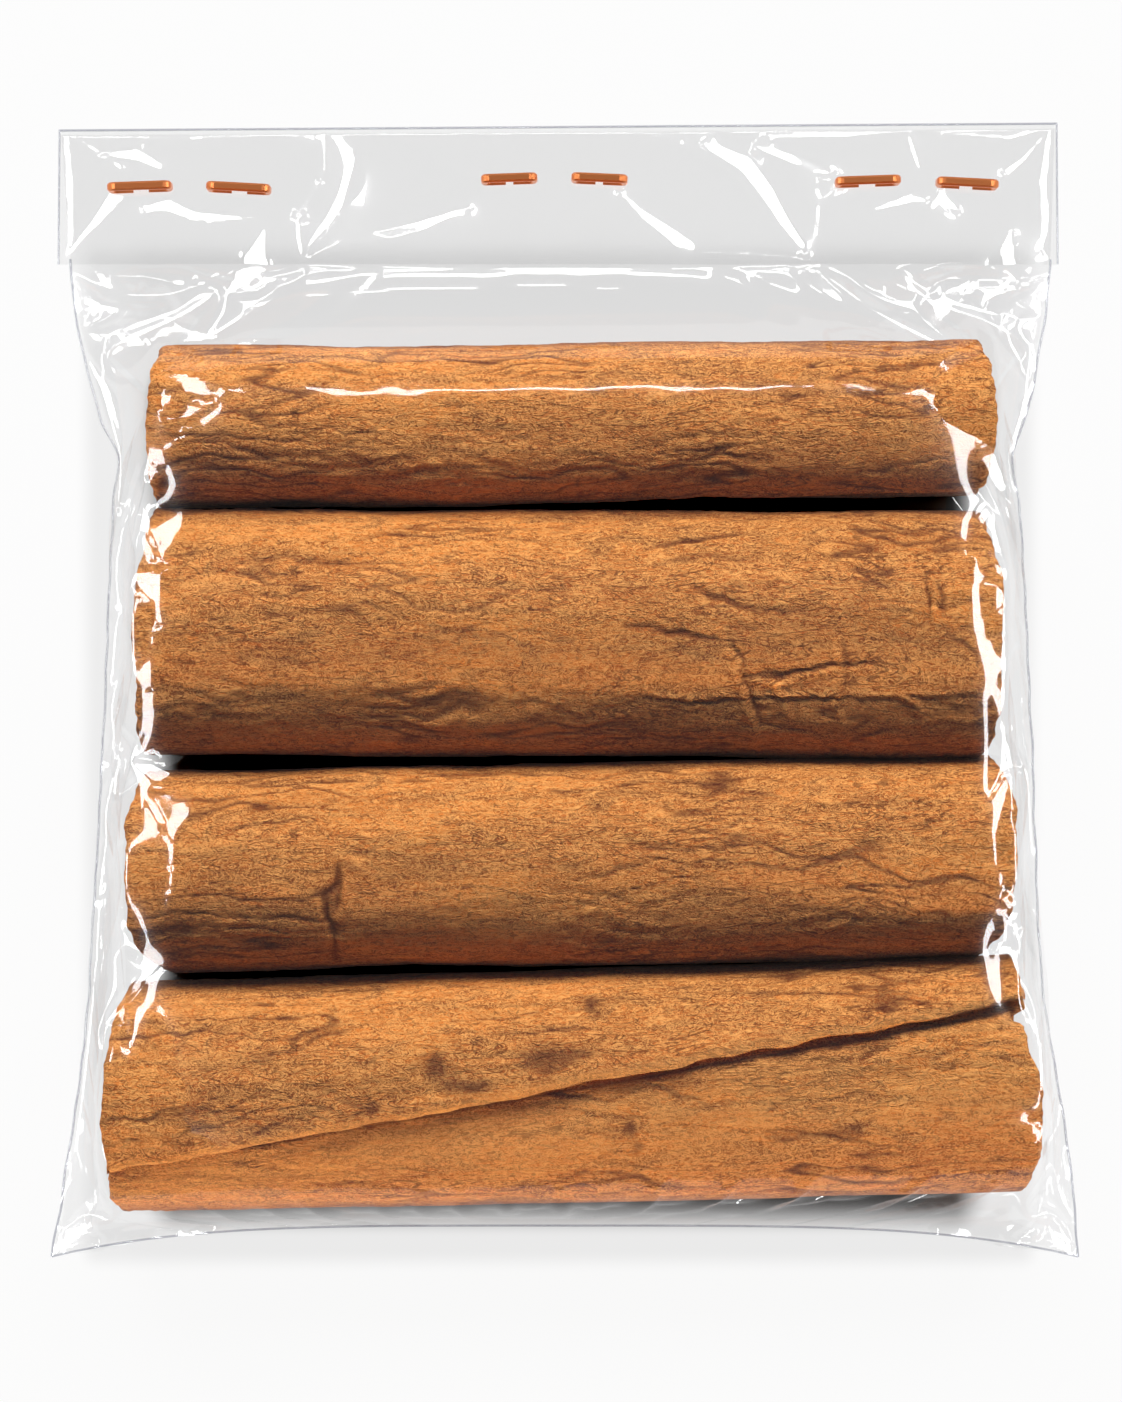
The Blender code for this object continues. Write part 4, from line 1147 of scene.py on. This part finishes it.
def build_stage(stage):
    """The pale floor, the soft key, the cards that the film mirrors, the dim room and the camera above the bag."""
    scene = bpy.context.scene
    corners = np.array([(-1500, -1500, 0), (1500, -1500, 0), (1500, 1500, 0), (-1500, 1500, 0)], float)
    floor = new_piece("floor", corners, np.array([[0, 1, 2, 3]]))
    floor.data.materials.append(make_floor_material())

    elevation = math.radians(36)
    key_place = SUBJECT + Vector((0, math.cos(elevation), math.sin(elevation)))
    key = add_area_light("key_softbox", key_place, (0.9, 0.35), stage.key_power)
    key.visible_glossy = False
    fill = add_area_light("front_fill", Vector((0, -1, 0.05)), (0.8, 0.05), stage.fill_power, stage.fill_colour)
    fill.visible_glossy = False
    for name, (_, _, width, height) in CARDS.items():
        power = stage.card_radiance * math.pi * width * height
        card = add_area_light(name, card_place(name), (width, height), power)
        card.visible_diffuse = False

    world = bpy.data.worlds.new("studio_room")
    scene.world = world
    world.use_nodes = True
    tree = world.node_tree
    background = tree.nodes["Background"]
    background.inputs["Color"].default_value = (1, 1, 1, 1)
    direction = add_node(tree, "ShaderNodeTexCoord").outputs["Generated"]
    height = add_node(tree, "ShaderNodeSeparateXYZ", Vector=direction).outputs["Z"]
    bright = add_node(tree, "ShaderNodeMapRange", Value=height, From_Min=0.15, From_Max=0.85,
                      To_Min=stage.room_light, To_Max=0.12 * stage.room_light)
    tree.links.new(bright.outputs[0], background.inputs["Strength"])
    scene.view_settings.view_transform = "Standard"

    camera = bpy.data.cameras.new("camera")
    camera.sensor_width = 36
    camera.lens = 135
    eye = bpy.data.objects.new("camera", camera)
    scene.collection.objects.link(eye)
    eye.location = EYE
    eye.rotation_euler = (0, 0, 0)
    scene.camera = eye


# ---------------------------------------------------------------------------------------------- settings, operators


def colour_property(name, hex_colour, description):
    """A colour setting whose default is an sRGB colour written as RRGGBB."""
    return FloatVectorProperty(name=name, description=description, size=4, min=0, max=1, subtype="COLOR",
                               default=linear(hex_colour))


class BarkSettings(bpy.types.PropertyGroup):
    """Colours of scraped cassia bark."""

    clean: colour_property("Clean bark", "E48334", "The scraped bark where it is palest")
    deep: colour_property("Deep bark", "C2672A", "The broad darker clouds of the bark")
    band: colour_property("Bands", "904A1C", "Long darker bands along the quill")
    bruise: colour_property("Bruises", "763A1D", "Rubbed and bruised patches")
    # Grooves also serves as painted shade where the bark's relief sinks.
    groove: colour_property("Grooves", "7E3C15", "Between the fibres")
    fibre: colour_property("Fibres", "F9B062", "Loose curled fibres and freshly torn edges")
    pit: colour_property("Pits", "663214", "Small pits and hair cracks")
    # Stains also serves as painted shade on the quills' long sides and under the free edge.
    stain: colour_property("Stains", "531F13", "Knots, cracks and dirt")


class QuillSettings(bpy.types.PropertyGroup):
    """Sizes that the four quills share."""

    stations: IntProperty(name="Stations", description="Rings of points along each quill", default=256, min=20)
    around: IntProperty(name="Around", description="Points along the rolled sheet's outside", default=301, min=41)
    roll_gap: FloatProperty(name="Roll gap", description="Space between two turns of bark", default=0.00012,
                            unit="LENGTH")


class FilmSettings(bpy.types.PropertyGroup):
    """Sizes of the clear bag."""

    drape_threads: IntProperty(name="Drape threads", description="Threads each way in the finest drape", default=171)
    slack_across: FloatProperty(name="Slack across", description="Spare film across the bag", default=0.014,
                                subtype="FACTOR")
    slack_along: FloatProperty(name="Slack along", description="Spare film along the bag", default=-0.004,
                               subtype="FACTOR")
    crumple_seed: IntProperty(name="Crumple", description="Which crumple the film takes", default=3)
    film_tint: colour_property("Film", "FEFEFE", "What the film lets through")
    weld_tint: colour_property("Welds", "E2E3E7", "What a welded edge lets through")


class StapleSettings(bpy.types.PropertyGroup):
    """Colour of the staples."""

    copper: colour_property("Copper", "DE8550", "Clean copper")


class StageSettings(bpy.types.PropertyGroup):
    """Light levels of the stage."""

    key_power: FloatProperty(name="Key", description="Power of the key softbox", default=14.8, unit="POWER")
    fill_power: FloatProperty(name="Fill", description="Power of the low front fill", default=12, unit="POWER")
    card_radiance: FloatProperty(name="Cards", description="Brightness of the reflecting cards", default=18)
    room_light: FloatProperty(name="Room", description="Brightness of the room around", default=0.15)
    fill_colour: FloatVectorProperty(name="Fill colour", description="Warm tint of the low front fill",
                                     subtype="COLOR", default=(1.0, 0.80, 0.56))


class CINNAMON_OT_quills(bpy.types.Operator):
    """Builds the four quills of rolled cassia bark"""

    bl_idname = "cinnamon.quills"
    bl_label = "Cinnamon quills"

    def execute(self, context):
        sizes = context.scene.cinnamon_quills
        material = make_bark_material(context.scene.cinnamon_bark)
        for quill in QUILLS:
            build_quill(quill, sizes, material)
        return {"FINISHED"}


class CINNAMON_OT_film(bpy.types.Operator):
    """Drapes the clear film over the quills and folds its mouth"""

    bl_idname = "cinnamon.film"
    bl_label = "Clear film bag"

    def execute(self, context):
        sizes = context.scene.cinnamon_film
        film = make_film_material("cellophane_film", sizes.film_tint)
        build_film(sizes, film)
        build_flap(film)
        build_seams(make_film_material("cellophane_weld", sizes.weld_tint))
        return {"FINISHED"}


class CINNAMON_OT_staples(bpy.types.Operator):
    """Gives the six staples their copper"""

    bl_idname = "cinnamon.staples"
    bl_label = "Copper staples"

    def execute(self, context):
        material = make_copper_material(context.scene.cinnamon_staples.copper)
        for name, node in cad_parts.items():
            if name.startswith("staple_"):
                node.data.materials.clear()
                node.data.materials.append(material)
        return {"FINISHED"}


class CINNAMON_OT_stage(bpy.types.Operator):
    """Sets up floor, lights, room and camera"""

    bl_idname = "cinnamon.stage"
    bl_label = "Stage"

    def execute(self, context):
        build_stage(context.scene.cinnamon_stage)
        return {"FINISHED"}


class CINNAMON_PT_panel(bpy.types.Panel):
    bl_label = "Bag of cinnamon sticks"
    bl_space_type = "VIEW_3D"
    bl_region_type = "UI"
    bl_category = "Cinnamon"

    def draw(self, context):
        for group in SETTINGS:
            settings = getattr(context.scene, group)
            for name in settings.__annotations__:
                self.layout.prop(settings, name)
        for operator in OPERATORS:
            self.layout.operator(operator.bl_idname)


SETTINGS = {"cinnamon_bark": BarkSettings, "cinnamon_quills": QuillSettings, "cinnamon_film": FilmSettings,
            "cinnamon_staples": StapleSettings, "cinnamon_stage": StageSettings}
OPERATORS = (CINNAMON_OT_quills, CINNAMON_OT_film, CINNAMON_OT_staples, CINNAMON_OT_stage)


def register():
    for kind in (*SETTINGS.values(), *OPERATORS, CINNAMON_PT_panel):
        bpy.utils.register_class(kind)
    for name, kind in SETTINGS.items():
        setattr(bpy.types.Scene, name, PointerProperty(type=kind))


def unregister():
    for name in SETTINGS:
        delattr(bpy.types.Scene, name)
    for kind in (CINNAMON_PT_panel, *OPERATORS[::-1], *[*SETTINGS.values()][::-1]):
        bpy.utils.unregister_class(kind)


def main():
    register()
    bpy.ops.cinnamon.stage()
    bpy.ops.cinnamon.quills()
    bpy.ops.cinnamon.film()
    bpy.ops.cinnamon.staples()


if __name__ == "__main__":
    main()
